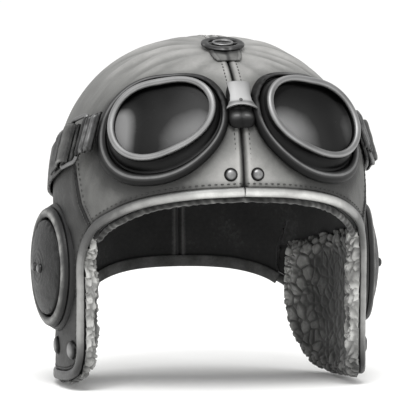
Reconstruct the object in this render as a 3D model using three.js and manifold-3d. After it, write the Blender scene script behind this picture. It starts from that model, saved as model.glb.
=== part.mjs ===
import * as THREE from 'three';
import { mergeVertices } from 'three/addons/utils/BufferGeometryUtils.js';
import Module from 'manifold-3d';

// An aviator's leather helmet with shearling ear flaps and goggles pushed up on the brow.
// Millimetres, +Z up, -Y forward, +X to the wearer's left.
// The origin is the inside top of the crown, where the helmet sits on the head.

// Crown, measured outside the leather
const crownWidth = 188.4;
const browReach = 105.5;
const napeReach = 98;
const crownHeight = 98;
const planPower = 2.2;
const domePower = 2.2;
const wallLean = 1.5;

// Edge of the helmet: drops below the crown's top, and turns in degrees from the front
const browDrop = 91;
const templeDrop = 123;
const flapDrop = 210;
const napeCornerDrop = 160;
const napeDrop = 149;
const flapFrontTurn = 62;
const flapBackTurn = 137;

// Walls and the gaps between them
const leatherWall = 2.2;
const liningWall = 2;
const fleecePile = 6.6;
const fleeceLump = 1.5;
const fleeceOverhang = 1.6;
const fleeceEdgeShare = 0.45;
const fleeceFrontDrop = 117;
const fleeceBackDrop = 134;
const liningInset = 1;
const layerGap = 1.2;
const seamGap = 0.3;
const touchGap = 0.3;
const bindingGap = 0.9;
const seatLift = 0.5;

// Bound edge, lining roll and nape hem
const bindingHeight = 5.6;
const bindingBulge = 1.7;
const rollWidth = 4;
const hemHeight = 7;
const hemWall = 1.4;

// Folds pressed into the crown
const foldHeight = 1.6;
const foldWidth = 11;
const foldInside = 0.5;

// Ear pads
const padBack = 1.2;
const padTurn = 6.4;
const padShare = 0.335;
const padRingInset = 1.5;
const padRingWidth = 6.4;
const padCapGap = 0.4;
const padSnapGap = 4.4;
const padStandoff = 10.7;
const padRimHeight = 4.3;
const padRingHeight = 3.4;
const padBaseHeight = 0.9;
const padBaseBevel = 0.4;
const padSeatSteps = 24;
const padRivetRadius = 1.9;
const padRivetHeight = 1.1;
const padRivetSpread = 5.4;

// Goggles: place of a lens, its outline and its frame
const lensSpread = 47.8;
const lensSetback = 18.3;
const lensDrop = 43.8;
const lensTurn = 24.5;
const lensTilt = 22.5;
const lensReach = 28.4;
const lensWall = 1.8;
const bezelWidth = 3.6;
const bezelDepth = 5;
const bezelEdge = 0.9;
const lipDepth = 2.6;
const lipWidth = 1.2;
const cupReach = 36;
const cupWall = 1.8;
const cupBow = 1.3;
const flangeWidth = 7;
const flangeHeight = 6.4;

// Bridge between the lenses
const bridgeTopDrop = 29.5;
const bridgeFootDrop = 42;
const bridgeHalfWidth = 9;
const bridgeWall = 1.8;
const bridgeBow = 1.2;
const bridgeSeat = 0.82;
const nosePadTopDrop = 28;
const nosePadFootDrop = 52;
const nosePadHalfWidth = 5;
const nosePadHeight = 5.5;
const nosePadEdge = 0.65;
const bridgeScrewRadius = 1.1;
const bridgeScrewHeight = 1;

// Strap round the back, its wire loops and its brackets
const strapWidth = 25;
const strapWall = 2.2;
const strapLift = 1.3;
const strapSideDrop = 74;
const strapTilt = 30;
const strapStartTurn = 70;
const foldEndTurn = 87;
const foldNoseTurn = 2.4;
const foldRise = 5.2;
const loopWire = 2.6;
const loopHeight = 32;
const loopCorner = 1.8;
const loopFrontTurn = 62.8;
const loopBackTurn = 73;
const bracketFrontTurn = 53.6;
const bracketHookTurn = 1.2;
const bracketWall = 1.6;
const bracketRib = 0.8;

// Seam between the crown and the flap panel
const sideSeamRow = 4;
const sideSeamTurn = 71;
const seamUnderStrap = 4;

// Tab and buckle on top of the crown
const tabCentre = 42;
const tabLength = 34;
const tabWidth = 20;
const tabWall = 1.2;
const tabTaper = 0.25;
const buckleCentre = 41;
const buckleWidth = 26;
const buckleLength = 21;
const buckleWire = 2.2;
const buckleBarWire = 1.5;

// Rivets and snaps
const browRivetRadius = 4;
const browRivetHeight = 2.6;
const browRivetSpread = 8.1;
const browRivetDrop = 78;
const snapRadius = 6;
const snapHeight = 2.8;
const frontSnapTurn = 71.5;
const backSnapTurn = 92;
const snapRise = 22;

const halfWidth = crownWidth / 2;
const crownWall = leatherWall + layerGap + liningWall;
const padRadius = (flapDrop - crownHeight) * padShare;
const padDrop = flapDrop - snapRise - snapRadius - padSnapGap - padRadius;
const padRingOuter = padRadius - padRingInset;
const padRingInner = padRingOuter - padRingWidth;
const padCapRadius = padRingInner - padCapGap;
const halfPi = Math.PI / 2;
const { lerp, degToRad, radToDeg } = THREE.MathUtils;

// Rows of the edge, as shares of each run's turn and drop
const browRun = [
  { turn: 0, drop: 0 },
  { turn: 0.26, drop: 0.05 },
  { turn: 0.53, drop: 0.22 },
  { turn: 0.73, drop: 0.475 },
  { turn: 0.88, drop: 0.75 },
];
const flapRun = [
  { turn: 0, drop: 0.1 },
  { turn: 0.01, drop: 0.35 },
  { turn: 0.015, drop: 0.6 },
  { turn: 0.025, drop: 0.8 },
  { turn: 0.065, drop: 0.9 },
  { turn: 0.16, drop: 0.955 },
  { turn: 0.36, drop: 0.985 },
  { turn: 0.58, drop: 1 },
  { turn: 0.74, drop: 0.98 },
  { turn: 0.84, drop: 0.91 },
  { turn: 0.91, drop: 0.79 },
  { turn: 0.96, drop: 0.64 },
  { turn: 0.99, drop: 0.48 },
];
const napeRun = [
  { turn: 0.13, drop: 0.2 },
  { turn: 0.3, drop: 0.58 },
  { turn: 0.52, drop: 0.85 },
  { turn: 0.76, drop: 0.97 },
  { turn: 1, drop: 1 },
];

// Outline of a lens as waves round its mean reach
const lensWaves = [
  { order: 2, share: 0.162, turn: -22.9 },
  { order: 3, share: 0.0283, turn: 43.3 },
  { order: 4, share: 0.0115, turn: -35.1 },
];

// Foot of a goggle cup and its flange every 45 degrees: shares of cupReach, flangeWidth and flangeHeight
const cupRows = [
  { foot: 0.98, flange: 1, rise: 0.7 },
  { foot: 0.87, flange: 0.7, rise: 0.7 },
  { foot: 0.78, flange: 0.5, rise: 0.7 },
  { foot: 0.95, flange: 0.6, rise: 0.8 },
  { foot: 0.99, flange: 0.62, rise: 0.95 },
  { foot: 0.92, flange: 0.8, rise: 1 },
  { foot: 0.94, flange: 0.95, rise: 1 },
  { foot: 1.03, flange: 1.05, rise: 0.9 },
];

// Half width of the bridge plate down its length
const bridgeShape = [
  { share: 0, half: 0.75 },
  { share: 0.5, half: 0.68 },
  { share: 0.75, half: 0.74 },
  { share: 1, half: 1 },
];

// Sections turned round an axis: shares of the width or radius and of the heights
const padRingRows = [
  { across: 0, rise: 0 },
  { across: 1, rise: 0 },
  { across: 1, rise: 0.4 },
  { across: 0.6, rise: 0.85 },
  { across: 0.25, rise: 1 },
  { across: 0, rise: 0.8 },
  { across: 0, rise: 0 },
];
const padCapRows = [
  { reach: 0, rim: 0, dome: 0 },
  { reach: 1, rim: 0, dome: 0 },
  { reach: 1, rim: 0.6, dome: 0 },
  { reach: 0.94, rim: 1, dome: 0.03 },
  { reach: 0.7, rim: 1, dome: 0.5 },
  { reach: 0.36, rim: 1, dome: 0.88 },
  { reach: 0, rim: 1, dome: 1 },
];
const studRows = [
  { reach: 0, rise: 0 },
  { reach: 1, rise: 0 },
  { reach: 0.86, rise: 0.6 },
  { reach: 0.5, rise: 0.93 },
  { reach: 0, rise: 1 },
];

// Side view of the strap's fold from the loop's back bar: shares of foldNoseTurn and of the way to the
// fold's end, of the bar's height under it and of foldRise
const foldRows = [
  { near: -1, far: 0, over: 0, rise: 0.56 },
  { near: -0.5, far: 0, over: 0, rise: 0.94 },
  { near: -0.45, far: 0, over: 1, rise: 1 },
  { near: 0.45, far: 0, over: 1, rise: 1 },
  { near: 1.4, far: 0, over: 0, rise: 0.54 },
  { near: 0, far: 0.6, over: 0, rise: 0.42 },
  { near: 0, far: 1, over: 0, rise: 0.34 },
];

// Side view of a bracket from its front to the loop's front bar: shares of that way and of
// bracketHookTurn, of the flange's and the bar's height under it and of bracketRib
const bracketRows = [
  { along: 0, hook: 0, flange: 1, bar: 0, rib: 1 },
  { along: 0.2, hook: 0, flange: 1, bar: 0, rib: 0 },
  { along: 0.4, hook: 0, flange: 1, bar: 0, rib: 1 },
  { along: 0.6, hook: 0, flange: 0.8, bar: 0, rib: 0 },
  { along: 1, hook: -0.6, flange: 0, bar: 0, rib: 1 },
  { along: 1, hook: 0, flange: 0, bar: 0, rib: 0 },
  { along: 1, hook: 0.08, flange: 0, bar: 1, rib: 0 },
  { along: 1, hook: 0.7, flange: 0, bar: 1, rib: 1 },
  { along: 1, hook: 1.2, flange: 0, bar: 1, rib: 0 },
];

// Folds of the crown in plan: x as shares of halfWidth and y of browReach, rise of foldHeight
const crownFolds = [
  { fromX: -0.12, fromY: -0.34, toX: -0.78, toY: -0.16, rise: 1 },
  { fromX: -0.1, fromY: -0.2, toX: -0.7, toY: 0.2, rise: 0.6 },
  { fromX: 0.14, fromY: -0.36, toX: 0.74, toY: -0.3, rise: 0.9 },
  { fromX: 0.12, fromY: -0.22, toX: 0.7, toY: 0.1, rise: 0.5 },
];

// A level is 0 at the crown's top, 1 where it is widest and grows by 1 with each crownHeight below
function levelAt(drop) {
  if (drop >= crownHeight) return drop / crownHeight;
  return Math.acos(Math.pow(1 - drop / crownHeight, domePower / 2)) / halfPi;
}

function planRadius(turn) {
  const reach = Math.cos(turn) > 0 ? browReach : napeReach;
  const ahead = Math.pow(Math.abs(Math.cos(turn)) / reach, planPower);
  const aside = Math.pow(Math.abs(Math.sin(turn)) / halfWidth, planPower);
  return Math.pow(ahead + aside, -1 / planPower);
}

function shellPoint(turn, level) {
  const arc = Math.min(level, 1) * halfPi;
  const below = Math.max(level - 1, 0) * crownHeight;
  const lean = 1 - (wallLean / halfWidth) * (below / (flapDrop - crownHeight));
  const radius = planRadius(turn) * Math.pow(Math.sin(arc), 2 / domePower) * lean;
  const height = Math.pow(Math.max(Math.cos(arc), 0), 2 / domePower) * crownHeight;
  const z = crownWall - crownHeight + height - below;
  return new THREE.Vector3(radius * Math.sin(turn), -radius * Math.cos(turn), z);
}

// The outer face's frame at a turn and level: along it, down it and out of it
function shellFrame(turn, level) {
  const step = 0.01;
  const at = Math.max(level, 2 * step);
  const along = shellPoint(turn + step, at).sub(shellPoint(turn - step, at)).normalize();
  const down = shellPoint(turn, at + step).sub(shellPoint(turn, at - step)).normalize();
  const out = level < step ? new THREE.Vector3(0, 0, 1) : down.clone().cross(along).normalize();
  return { point: shellPoint(turn, level), along, down, out };
}

function onShell(turn, level, lift) {
  const frame = shellFrame(turn, level);
  return frame.point.addScaledVector(frame.out, lift);
}

// The level under a point in plan, for the crown above its widest level
function levelUnder(x, y) {
  const share = Math.hypot(x, y) / planRadius(Math.atan2(x, -y));
  return Math.asin(Math.min(Math.pow(share, domePower / 2), 1)) / halfPi;
}

function overCrown(x, y, lift) {
  return onShell(Math.atan2(x, -y), levelUnder(x, y), lift);
}

// Height of the folds over a point in plan
function foldAt(point) {
  let height = 0;
  for (const fold of crownFolds) {
    const from = new THREE.Vector2(fold.fromX * halfWidth, fold.fromY * browReach);
    const to = new THREE.Vector2(fold.toX * halfWidth, fold.toY * browReach);
    const line = to.clone().sub(from);
    const offset = new THREE.Vector2(point.x, point.y).sub(from);
    const share = offset.dot(line) / line.lengthSq();
    const reach = THREE.MathUtils.clamp(share, 0, 1);
    const gap = offset.addScaledVector(line, -reach).length();
    const fade = Math.sin(reach * Math.PI);
    height += fold.rise * foldHeight * fade * Math.exp(-Math.pow((2 * gap) / foldWidth, 2));
  }
  return height;
}

// The edge as one curve over the unrolled wall, with a point for each row
function edgePlace(row, [fromTurn, toTurn], [fromDrop, toDrop]) {
  const turn = degToRad(lerp(fromTurn, toTurn, row.turn));
  return new THREE.Vector3(turn * halfWidth, lerp(fromDrop, toDrop, row.drop), 0);
}

const edgeCurve = new THREE.CatmullRomCurve3([
  ...browRun.map((row) => edgePlace(row, [0, flapFrontTurn], [browDrop, templeDrop])),
  ...flapRun.map((row) => edgePlace(row, [flapFrontTurn, flapBackTurn], [templeDrop, flapDrop])),
  ...napeRun.map((row) => edgePlace(row, [flapBackTurn, 180], [napeCornerDrop, napeDrop])),
], false, 'centripetal');
const lastRow = edgeCurve.points.length - 1;
const flapLastRow = browRun.length + flapRun.length - 1;

// Turn and level on the edge at a row, moved in from it by the inset
function edgeAt(row, inset) {
  const share = THREE.MathUtils.clamp(row / lastRow, 0, 1);
  const place = edgeCurve.getPoint(share);
  const run = edgeCurve.getTangent(share);
  const turn = (place.x + run.y * inset) / halfWidth;
  return { turn: THREE.MathUtils.clamp(turn, 0, Math.PI), level: levelAt(place.y - run.x * inset) };
}

function strapDrop(turn) {
  return strapSideDrop - strapTilt * Math.cos(turn);
}

// Welds the points of a mesh, drops the triangles without area and turns its faces outwards
function closedMesh(positions, triangles) {
  const loose = new THREE.BufferGeometry();
  const numbers = positions.flatMap((point) => point.toArray());
  loose.setAttribute('position', new THREE.Float32BufferAttribute(numbers, 3));
  loose.setIndex(triangles);
  const welded = mergeVertices(loose, 1e-3);
  const place = welded.getAttribute('position');
  const corner = (i) => new THREE.Vector3().fromBufferAttribute(place, i);
  const kept = [];
  let volume = 0;
  for (let i = 0; i < welded.index.count; i += 3) {
    const [a, b, c] = [0, 1, 2].map((k) => welded.index.getX(i + k));
    if (a === b || b === c || c === a) continue;
    kept.push(a, b, c);
    volume += corner(a).dot(corner(b).cross(corner(c)));
  }
  welded.setIndex(volume < 0 ? kept.reverse() : kept);
  return welded.toNonIndexed();
}

// A wall between an outer and an inner sheet, each a grid of points over u and v
function wallSolid(outerAt, innerAt, columns, rows, ring = false) {
  const positions = [];
  for (const sheet of [outerAt, innerAt]) {
    for (let j = 0; j <= rows; j++) {
      for (let i = 0; i <= columns; i++) positions.push(sheet(i / columns, j / rows));
    }
  }
  const inner = (columns + 1) * (rows + 1);
  const at = (i, j) => j * (columns + 1) + i;
  const triangles = [];
  const quad = (a, b, c, d) => triangles.push(a, b, c, a, c, d);
  for (let j = 0; j < rows; j++) {
    for (let i = 0; i < columns; i++) {
      quad(at(i, j), at(i + 1, j), at(i + 1, j + 1), at(i, j + 1));
      quad(inner + at(i, j), inner + at(i, j + 1), inner + at(i + 1, j + 1), inner + at(i + 1, j));
    }
    if (ring) continue;
    quad(at(0, j), at(0, j + 1), inner + at(0, j + 1), inner + at(0, j));
    quad(at(columns, j + 1), at(columns, j), inner + at(columns, j), inner + at(columns, j + 1));
  }
  for (let i = 0; i < columns; i++) {
    quad(at(i + 1, 0), at(i, 0), inner + at(i, 0), inner + at(i + 1, 0));
    quad(at(i, rows), at(i + 1, rows), inner + at(i + 1, rows), inner + at(i, rows));
  }
  return closedMesh(positions, triangles);
}

// A bar or ring: a section of `sides` points carried along u
function barSolid(pointAt, steps, sides, ring = false) {
  const positions = [];
  const count = ring ? steps : steps + 1;
  for (let i = 0; i < count; i++) {
    for (let k = 0; k < sides; k++) positions.push(pointAt(i / steps, k));
  }
  const at = (i, k) => (i % count) * sides + (k % sides);
  const triangles = [];
  for (let i = 0; i < steps; i++) {
    for (let k = 0; k < sides; k++) {
      triangles.push(at(i, k), at(i + 1, k), at(i + 1, k + 1), at(i, k), at(i + 1, k + 1), at(i, k + 1));
    }
  }
  for (let k = 1; k < sides - 1 && !ring; k++) {
    triangles.push(at(0, 0), at(0, k), at(0, k + 1), at(steps, 0), at(steps, k + 1), at(steps, k));
  }
  return closedMesh(positions, triangles);
}

// An oval section: the k-th of `sides` points, as offsets out and across
function ovalSide(k, sides, halfOut, halfAcross) {
  const angle = ((k + 0.5) / sides) * 2 * Math.PI;
  return { out: halfOut * Math.cos(angle), across: halfAcross * Math.sin(angle) };
}

function mirrored(geometry) {
  const place = geometry.getAttribute('position');
  const positions = [];
  for (let i = 0; i < place.count; i++) {
    positions.push(new THREE.Vector3(-place.getX(i), place.getY(i), place.getZ(i)));
  }
  return closedMesh(positions, positions.map((_, i) => i));
}

const wasm = await Module();
wasm.setup();

function manifoldOf(geometry) {
  const bare = geometry.clone();
  bare.deleteAttribute('normal');
  bare.deleteAttribute('uv');
  const welded = mergeVertices(bare, 1e-3);
  return new wasm.Manifold(new wasm.Mesh({
    numProp: 3,
    vertProperties: new Float32Array(welded.getAttribute('position').array),
    triVerts: new Uint32Array(welded.index.array),
  }));
}

function joined(first, second) {
  const mesh = manifoldOf(first).add(manifoldOf(second)).getMesh();
  const geometry = new THREE.BufferGeometry();
  geometry.setAttribute('position', new THREE.Float32BufferAttribute(mesh.vertProperties, 3));
  geometry.setIndex([...mesh.triVerts]);
  return geometry.toNonIndexed();
}

const finishes = {
  leather: { color: 0x9a9a98, roughness: 0.6, metalness: 0 },
  piping: { color: 0xb8b8b6, roughness: 0.5, metalness: 0 },
  lining: { color: 0x3c3c3d, roughness: 0.9, metalness: 0 },
  fleece: { color: 0xb9b9b6, roughness: 1, metalness: 0 },
  pad: { color: 0x555556, roughness: 0.7, metalness: 0 },
  metal: { color: 0xc9c9ca, roughness: 0.3, metalness: 1 },
  darkMetal: { color: 0x6a6a6b, roughness: 0.4, metalness: 1 },
  glass: { color: 0x2a2a2c, roughness: 0.1, metalness: 0 },
  rubber: { color: 0x2f2f30, roughness: 0.6, metalness: 0 },
  strap: { color: 0x5d5d5e, roughness: 0.8, metalness: 0 },
};

const helmet = new THREE.Group();

function addPiece(name, geometry, finish) {
  const mesh = new THREE.Mesh(geometry, new THREE.MeshStandardMaterial(finishes[finish]));
  mesh.name = name;
  helmet.add(mesh);
  return mesh;
}

// Both sides of a piece; left and right are the wearer's, so the left one has the larger x
function addPair(name, geometry, finish) {
  return [addPiece(`${name}_left`, geometry, finish), addPiece(`${name}_right`, mirrored(geometry), finish)];
}

// Places a piece made on its own axis: its +Z goes to `out`
function stand(mesh, point, out) {
  mesh.position.copy(point);
  mesh.quaternion.setFromUnitVectors(new THREE.Vector3(0, 0, 1), out);
  return mesh;
}

function sided(vector, side) {
  return new THREE.Vector3(vector.x * side, vector.y, vector.z);
}

// The side seam from the edge up to the strap, then back under the strap
function sideSeam(share) {
  const foot = edgeAt(sideSeamRow, bindingHeight + bindingGap);
  const topTurn = degToRad(sideSeamTurn);
  const topLevel = levelAt(strapDrop(topTurn) + seamUnderStrap);
  return { turn: lerp(topTurn, foot.turn, share), level: lerp(topLevel, foot.level, share) };
}

function strapSeam(share) {
  const turn = lerp(degToRad(sideSeamTurn), Math.PI, share);
  return { turn, level: levelAt(strapDrop(turn) + seamUnderStrap) };
}

// Carries a share along stretches of a boundary: each stretch takes its own part of the share
function alongStretches(stretches, share) {
  const whole = stretches.reduce((sum, stretch) => sum + stretch.weight, 0);
  let rest = share * whole;
  for (const stretch of stretches) {
    if (rest <= stretch.weight || stretch === stretches.at(-1)) return stretch.at(rest / stretch.weight);
    rest -= stretch.weight;
  }
  return null;
}

function edgeStretch(fromRow, toRow, inset, weight = toRow - fromRow) {
  return { weight, at: (share) => edgeAt(lerp(fromRow, toRow, share), inset) };
}

// Half a dome from the crown's top to a boundary, between two lifts off the outer face
function halfDome(boundary, columns, rows, outerLift, innerLift, side) {
  const sheet = (liftAt) => (u, v) => {
    const foot = boundary(u);
    const turn = lerp(u * Math.PI, foot.turn, v * v);
    const point = onShell(turn, foot.level * v, 0);
    return sided(onShell(turn, foot.level * v, liftAt(sided(point, side))), side);
  };
  const geometry = wallSolid(sheet(outerLift), sheet(innerLift), columns, rows);
  return geometry.translate((side * seamGap) / 2, 0, 0);
}

function crownHalf(side) {
  const stretches = [
    edgeStretch(0, sideSeamRow, bindingHeight + bindingGap, 5),
    { weight: 3, at: (share) => sideSeam(1 - share) },
    { weight: 10, at: strapSeam },
  ];
  const boundary = (share) => alongStretches(stretches, share);
  const inner = (point) => foldAt(point) * foldInside - leatherWall;
  return halfDome(boundary, 18, 9, foldAt, inner, side);
}

function flapPanel(side) {
  const gap = seamGap + 2 * touchGap;
  const cornerPower = 8;
  const foot = (u) => edgeAt(lerp(sideSeamRow, lastRow, u), bindingHeight + bindingGap);
  const top = (u) => {
    const place = strapSeam(u);
    return { turn: place.turn + (gap / halfWidth) * (1 - u), level: place.level + gap / crownHeight };
  };
  const sheet = (lift) => (u, v) => {
    const [high, low] = [top(u), foot(u)];
    const shift = ((gap / halfWidth) * Math.pow(1 - u, cornerPower)) * v;
    return sided(onShell(lerp(high.turn, low.turn, v) + shift, lerp(high.level, low.level, v), lift), side);
  };
  return wallSolid(sheet(0), sheet(-leatherWall), 18, 5).translate((side * seamGap) / 2, 0, 0);
}

// The rolled strip that binds the edge from the brow seam to the nape
function edgeBinding(side) {
  const sides = 6;
  const pointAt = (u, k) => {
    const spot = ovalSide(k, sides, (leatherWall + bindingBulge) / 2, bindingHeight / 2);
    const place = edgeAt(u * lastRow, bindingHeight / 2 - spot.across);
    const lift = (bindingBulge - leatherWall) / 2 + spot.out;
    return sided(onShell(place.turn, place.level, lift), side);
  };
  return barSolid(pointAt, 2 * lastRow, sides).translate((side * seamGap) / 2, 0, 0);
}

// The roll of lining that shows under the brow's bound edge
function browRoll() {
  const sides = 6;
  const lastShare = sideSeamRow + 0.35;
  const pointAt = (u, k) => {
    const spot = ovalSide(k, sides, rollWidth / 2, rollWidth / 2);
    const side = u < 0.5 ? -1 : 1;
    const place = edgeAt(Math.abs(2 * u - 1) * lastShare, spot.across - rollWidth / 2);
    const lift = spot.out - leatherWall - layerGap - rollWidth / 2;
    return sided(onShell(place.turn, place.level, lift), side);
  };
  return barSolid(pointAt, 20, sides);
}

// Level of the fleece's upper edge, from the flap's front to its back
function fleeceTop(share) {
  return lerp(levelAt(fleeceFrontDrop), levelAt(fleeceBackDrop), share * share);
}

function liningHalf(side) {
  const backRow = flapLastRow + 0.8;
  const rise = (2 * liningInset) / crownHeight;
  const corner = edgeAt(backRow, liningInset);
  const front = edgeAt(sideSeamRow, liningInset);
  const frontLine = (share) => ({ turn: front.turn, level: lerp(front.level, fleeceTop(0) - rise, share) });
  const topLine = (share) => ({ turn: lerp(front.turn, corner.turn, share), level: fleeceTop(share) - rise });
  const backLine = (share) => ({ turn: corner.turn, level: lerp(fleeceTop(1) - rise, corner.level, share) });
  const stretches = [
    edgeStretch(0, sideSeamRow, liningInset, 6),
    { weight: 1, at: frontLine },
    { weight: 6, at: topLine },
    { weight: 2, at: backLine },
    edgeStretch(backRow, lastRow, liningInset, 4),
  ];
  const top = -leatherWall - layerGap;
  const boundary = (share) => alongStretches(stretches, share);
  return halfDome(boundary, 19, 8, () => top, () => top - liningWall, side);
}

// The hem inside the nape, from one flap to the other
function napeHem() {
  const sheet = (lift) => (u, v) => {
    const side = u < 0.5 ? 1 : -1;
    const row = lerp(lastRow, flapLastRow + 1, Math.abs(2 * u - 1));
    const place = edgeAt(row, lerp(hemHeight, 0, v));
    return sided(onShell(place.turn, place.level, lift), side);
  };
  const top = -leatherWall - 2 * layerGap - liningWall;
  return wallSolid(sheet(top), sheet(top - hemWall), 16, 1);
}

// Shearling inside a flap: a backing with rows of locks on its inner face
function flapFleece() {
  const columns = 20;
  const rows = 8;
  const straightBy = 0.77;
  const lockShift = 9;
  const edgeRun = 0.09;
  const firstRow = sideSeamRow + 0.4;
  const lastFleeceRow = flapLastRow + 0.2;
  const top = -leatherWall - layerGap;
  const place = (u, v) => {
    const foot = edgeAt(lerp(firstRow, lastFleeceRow, u), -fleeceOverhang * Math.sin(u * Math.PI));
    const headTurn = lerp(edgeAt(firstRow, 0).turn, edgeAt(lastFleeceRow, 0).turn, u);
    const turn = lerp(headTurn, foot.turn, Math.min(v / straightBy, 1));
    return { turn, level: lerp(fleeceTop(u), foot.level, v) };
  };
  const outer = (u, v) => {
    const spot = place(u, v);
    return onShell(spot.turn, spot.level, top);
  };
  const inner = (u, v) => {
    const spot = place(u, v);
    const lock = Math.sin(u * columns * halfPi) * Math.sin(v * rows * halfPi + u * lockShift);
    const inside = Math.min(u, 1 - u, 1 - v) / edgeRun;
    const edge = lerp(fleeceEdgeShare, 1, Math.min(inside, 1));
    return onShell(spot.turn, spot.level, top - fleecePile * edge - fleeceLump * Math.abs(lock));
  };
  return wallSolid(outer, inner, columns, rows);
}

// Outer face of the leather beside an ear pad, at a place across it and up it
function wallBeside(y, z) {
  const drop = crownWall - z;
  const below = Math.max(drop - crownHeight, 0);
  const lean = 1 - (wallLean / halfWidth) * (below / (flapDrop - crownHeight));
  const reach = y < 0 ? browReach : napeReach;
  const ahead = Math.pow(Math.abs(y) / (reach * lean), planPower);
  return halfWidth * lean * Math.pow(1 - ahead, 1 / planPower);
}

// The pad's flat seat lies just outside the flap's wall all round the pad's rim
function padSeat() {
  const reaches = Array.from({ length: padSeatSteps }, (_, i) => {
    const angle = (i * 2 * Math.PI) / padSeatSteps;
    const aside = padRadius * Math.cos(angle);
    const y = padBack + aside * Math.cos(degToRad(padTurn));
    const z = crownWall - padDrop + padRadius * Math.sin(angle);
    return wallBeside(y, z) - aside * Math.sin(degToRad(padTurn));
  });
  return Math.max(...reaches) + 2 * touchGap;
}

const padCentre = new THREE.Vector3(padSeat(), padBack, crownWall - padDrop);
const padOut = new THREE.Vector3(Math.cos(degToRad(padTurn)), -Math.sin(degToRad(padTurn)), 0);

// A point over an ear pad's disc: radius and angle round its axis, height along it
function padPoint(radius, angle, height) {
  const aside = new THREE.Vector3(Math.sin(degToRad(padTurn)), Math.cos(degToRad(padTurn)), 0);
  return padCentre.clone()
    .addScaledVector(aside, radius * Math.cos(angle))
    .add(new THREE.Vector3(0, 0, radius * Math.sin(angle)))
    .addScaledVector(padOut, height);
}

// The pad's base fills the space between the flap's wall and the pad's flat seat
function padBase() {
  const flatShare = 0.8;
  const face = (u, v) => {
    const bevel = (padBaseBevel * Math.max(v - flatShare, 0)) / (1 - flatShare);
    return padPoint(padRadius * v, u * 2 * Math.PI, padBaseHeight - bevel);
  };
  const seat = (u, v) => {
    const spot = padPoint(padRadius * v, u * 2 * Math.PI, 0);
    return new THREE.Vector3(wallBeside(spot.y, spot.z) + 2 * touchGap, spot.y, spot.z);
  };
  return wallSolid(face, seat, 18, 3, true);
}

// A section of radius and height pairs turned round the +Z axis
function turned(profile, steps) {
  const points = profile.map(([radius, height]) => new THREE.Vector2(radius, height));
  return new THREE.LatheGeometry(points, steps).rotateX(halfPi);
}

function dome(radius, height, steps) {
  return turned(studRows.map((row) => [radius * row.reach, height * row.rise]), steps);
}

// Height of a pad's cap near its middle
function capTop(radius) {
  const row = padCapRows.at(-2);
  const fall = (padStandoff - padRimHeight) * (1 - row.dome);
  return padStandoff - (fall * radius) / (padCapRadius * row.reach);
}

// Ring, cap and two small rivets of an ear pad
function addPads(side) {
  const name = side > 0 ? 'left' : 'right';
  const low = padBaseHeight + touchGap;
  const ring = padRingRows.map((row) => [
    lerp(padRingInner, padRingOuter, row.across), lerp(low, padRingHeight, row.rise),
  ]);
  const cap = padCapRows.map((row) => [
    padCapRadius * row.reach, lerp(low, padRimHeight, row.rim) + (padStandoff - padRimHeight) * row.dome,
  ]);
  const centre = sided(padCentre, side);
  const out = sided(padOut, side);
  stand(addPiece(`pad_ring_${name}`, turned(ring, 18), 'pad'), centre, out);
  stand(addPiece(`pad_cap_${name}`, turned(cap, 18), 'pad'), centre, out);
  const rivetFoot = capTop(padRivetSpread - padRivetRadius) + touchGap;
  for (const [label, reach] of [['front', -padRivetSpread], ['back', padRivetSpread]]) {
    const rivet = dome(padRivetRadius, padRivetHeight, 8);
    const place = sided(padPoint(reach, 0, rivetFoot), side);
    stand(addPiece(`pad_rivet_${label}_${name}`, rivet, 'darkMetal'), place, out);
  }
}

// Frame of a lens: across it outwards, up it and out of it
const lensOut = new THREE.Vector3(
  Math.sin(degToRad(lensTurn)) * Math.cos(degToRad(lensTilt)),
  -Math.cos(degToRad(lensTurn)) * Math.cos(degToRad(lensTilt)),
  Math.sin(degToRad(lensTilt)),
);
const lensAcross = new THREE.Vector3(Math.cos(degToRad(lensTurn)), Math.sin(degToRad(lensTurn)), 0);
const lensUp = lensOut.clone().cross(lensAcross).multiplyScalar(-1);
if (lensUp.z < 0) lensUp.negate();
const lensCentre = new THREE.Vector3(lensSpread, lensSetback - browReach, crownWall - lensDrop);

function lensPoint(radius, angle, out) {
  return lensCentre.clone()
    .addScaledVector(lensAcross, radius * Math.cos(angle))
    .addScaledVector(lensUp, radius * Math.sin(angle))
    .addScaledVector(lensOut, out);
}

function lensOutline(angle) {
  const waves = lensWaves.map((w) => w.share * Math.cos(w.order * (angle - degToRad(w.turn))));
  return lensReach * (1 + waves.reduce((sum, wave) => sum + wave, 0));
}

// A value from the eight cup rows at any angle, smooth all the way round
function cupRow(angle, column) {
  const count = cupRows.length;
  const place = (((angle / (2 * Math.PI)) % 1) + 1) % 1 * count;
  const first = Math.floor(place);
  const share = place - first;
  const [a, b, c, d] = [-1, 0, 1, 2].map((k) => cupRows[(first + k + count) % count][column]);
  const slopeIn = (c - a) / 2;
  const slopeOut = (d - b) / 2;
  const square = share * share;
  const cube = square * share;
  return (2 * cube - 3 * square + 1) * b + (cube - 2 * square + share) * slopeIn
    + (3 * square - 2 * cube) * c + (cube - square) * slopeOut;
}

// How far a point is outside the crown grown by a lift, as a share
function outsideCrown(point, lift) {
  const reach = (point.y < 0 ? browReach : napeReach) + lift;
  const ahead = Math.pow(Math.abs(point.y) / reach, planPower);
  const aside = Math.pow(Math.abs(point.x) / (halfWidth + lift), planPower);
  const plan = Math.pow(ahead + aside, domePower / planPower);
  const height = Math.max(point.z - crownWall + crownHeight, 0) / (crownHeight + lift);
  return plan + Math.pow(height, domePower) - 1;
}

// Moves a point of the goggles back along the lens axis until it meets the crown grown by a lift
function seatedOnCrown(radius, angle, lift) {
  const halvings = 30;
  let near = 2 * bezelDepth;
  let far = -2 * lensReach;
  for (let i = 0; i < halvings; i++) {
    const middle = (near + far) / 2;
    if (outsideCrown(lensPoint(radius, angle, middle), lift) > 0) near = middle;
    else far = middle;
  }
  return near;
}

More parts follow.
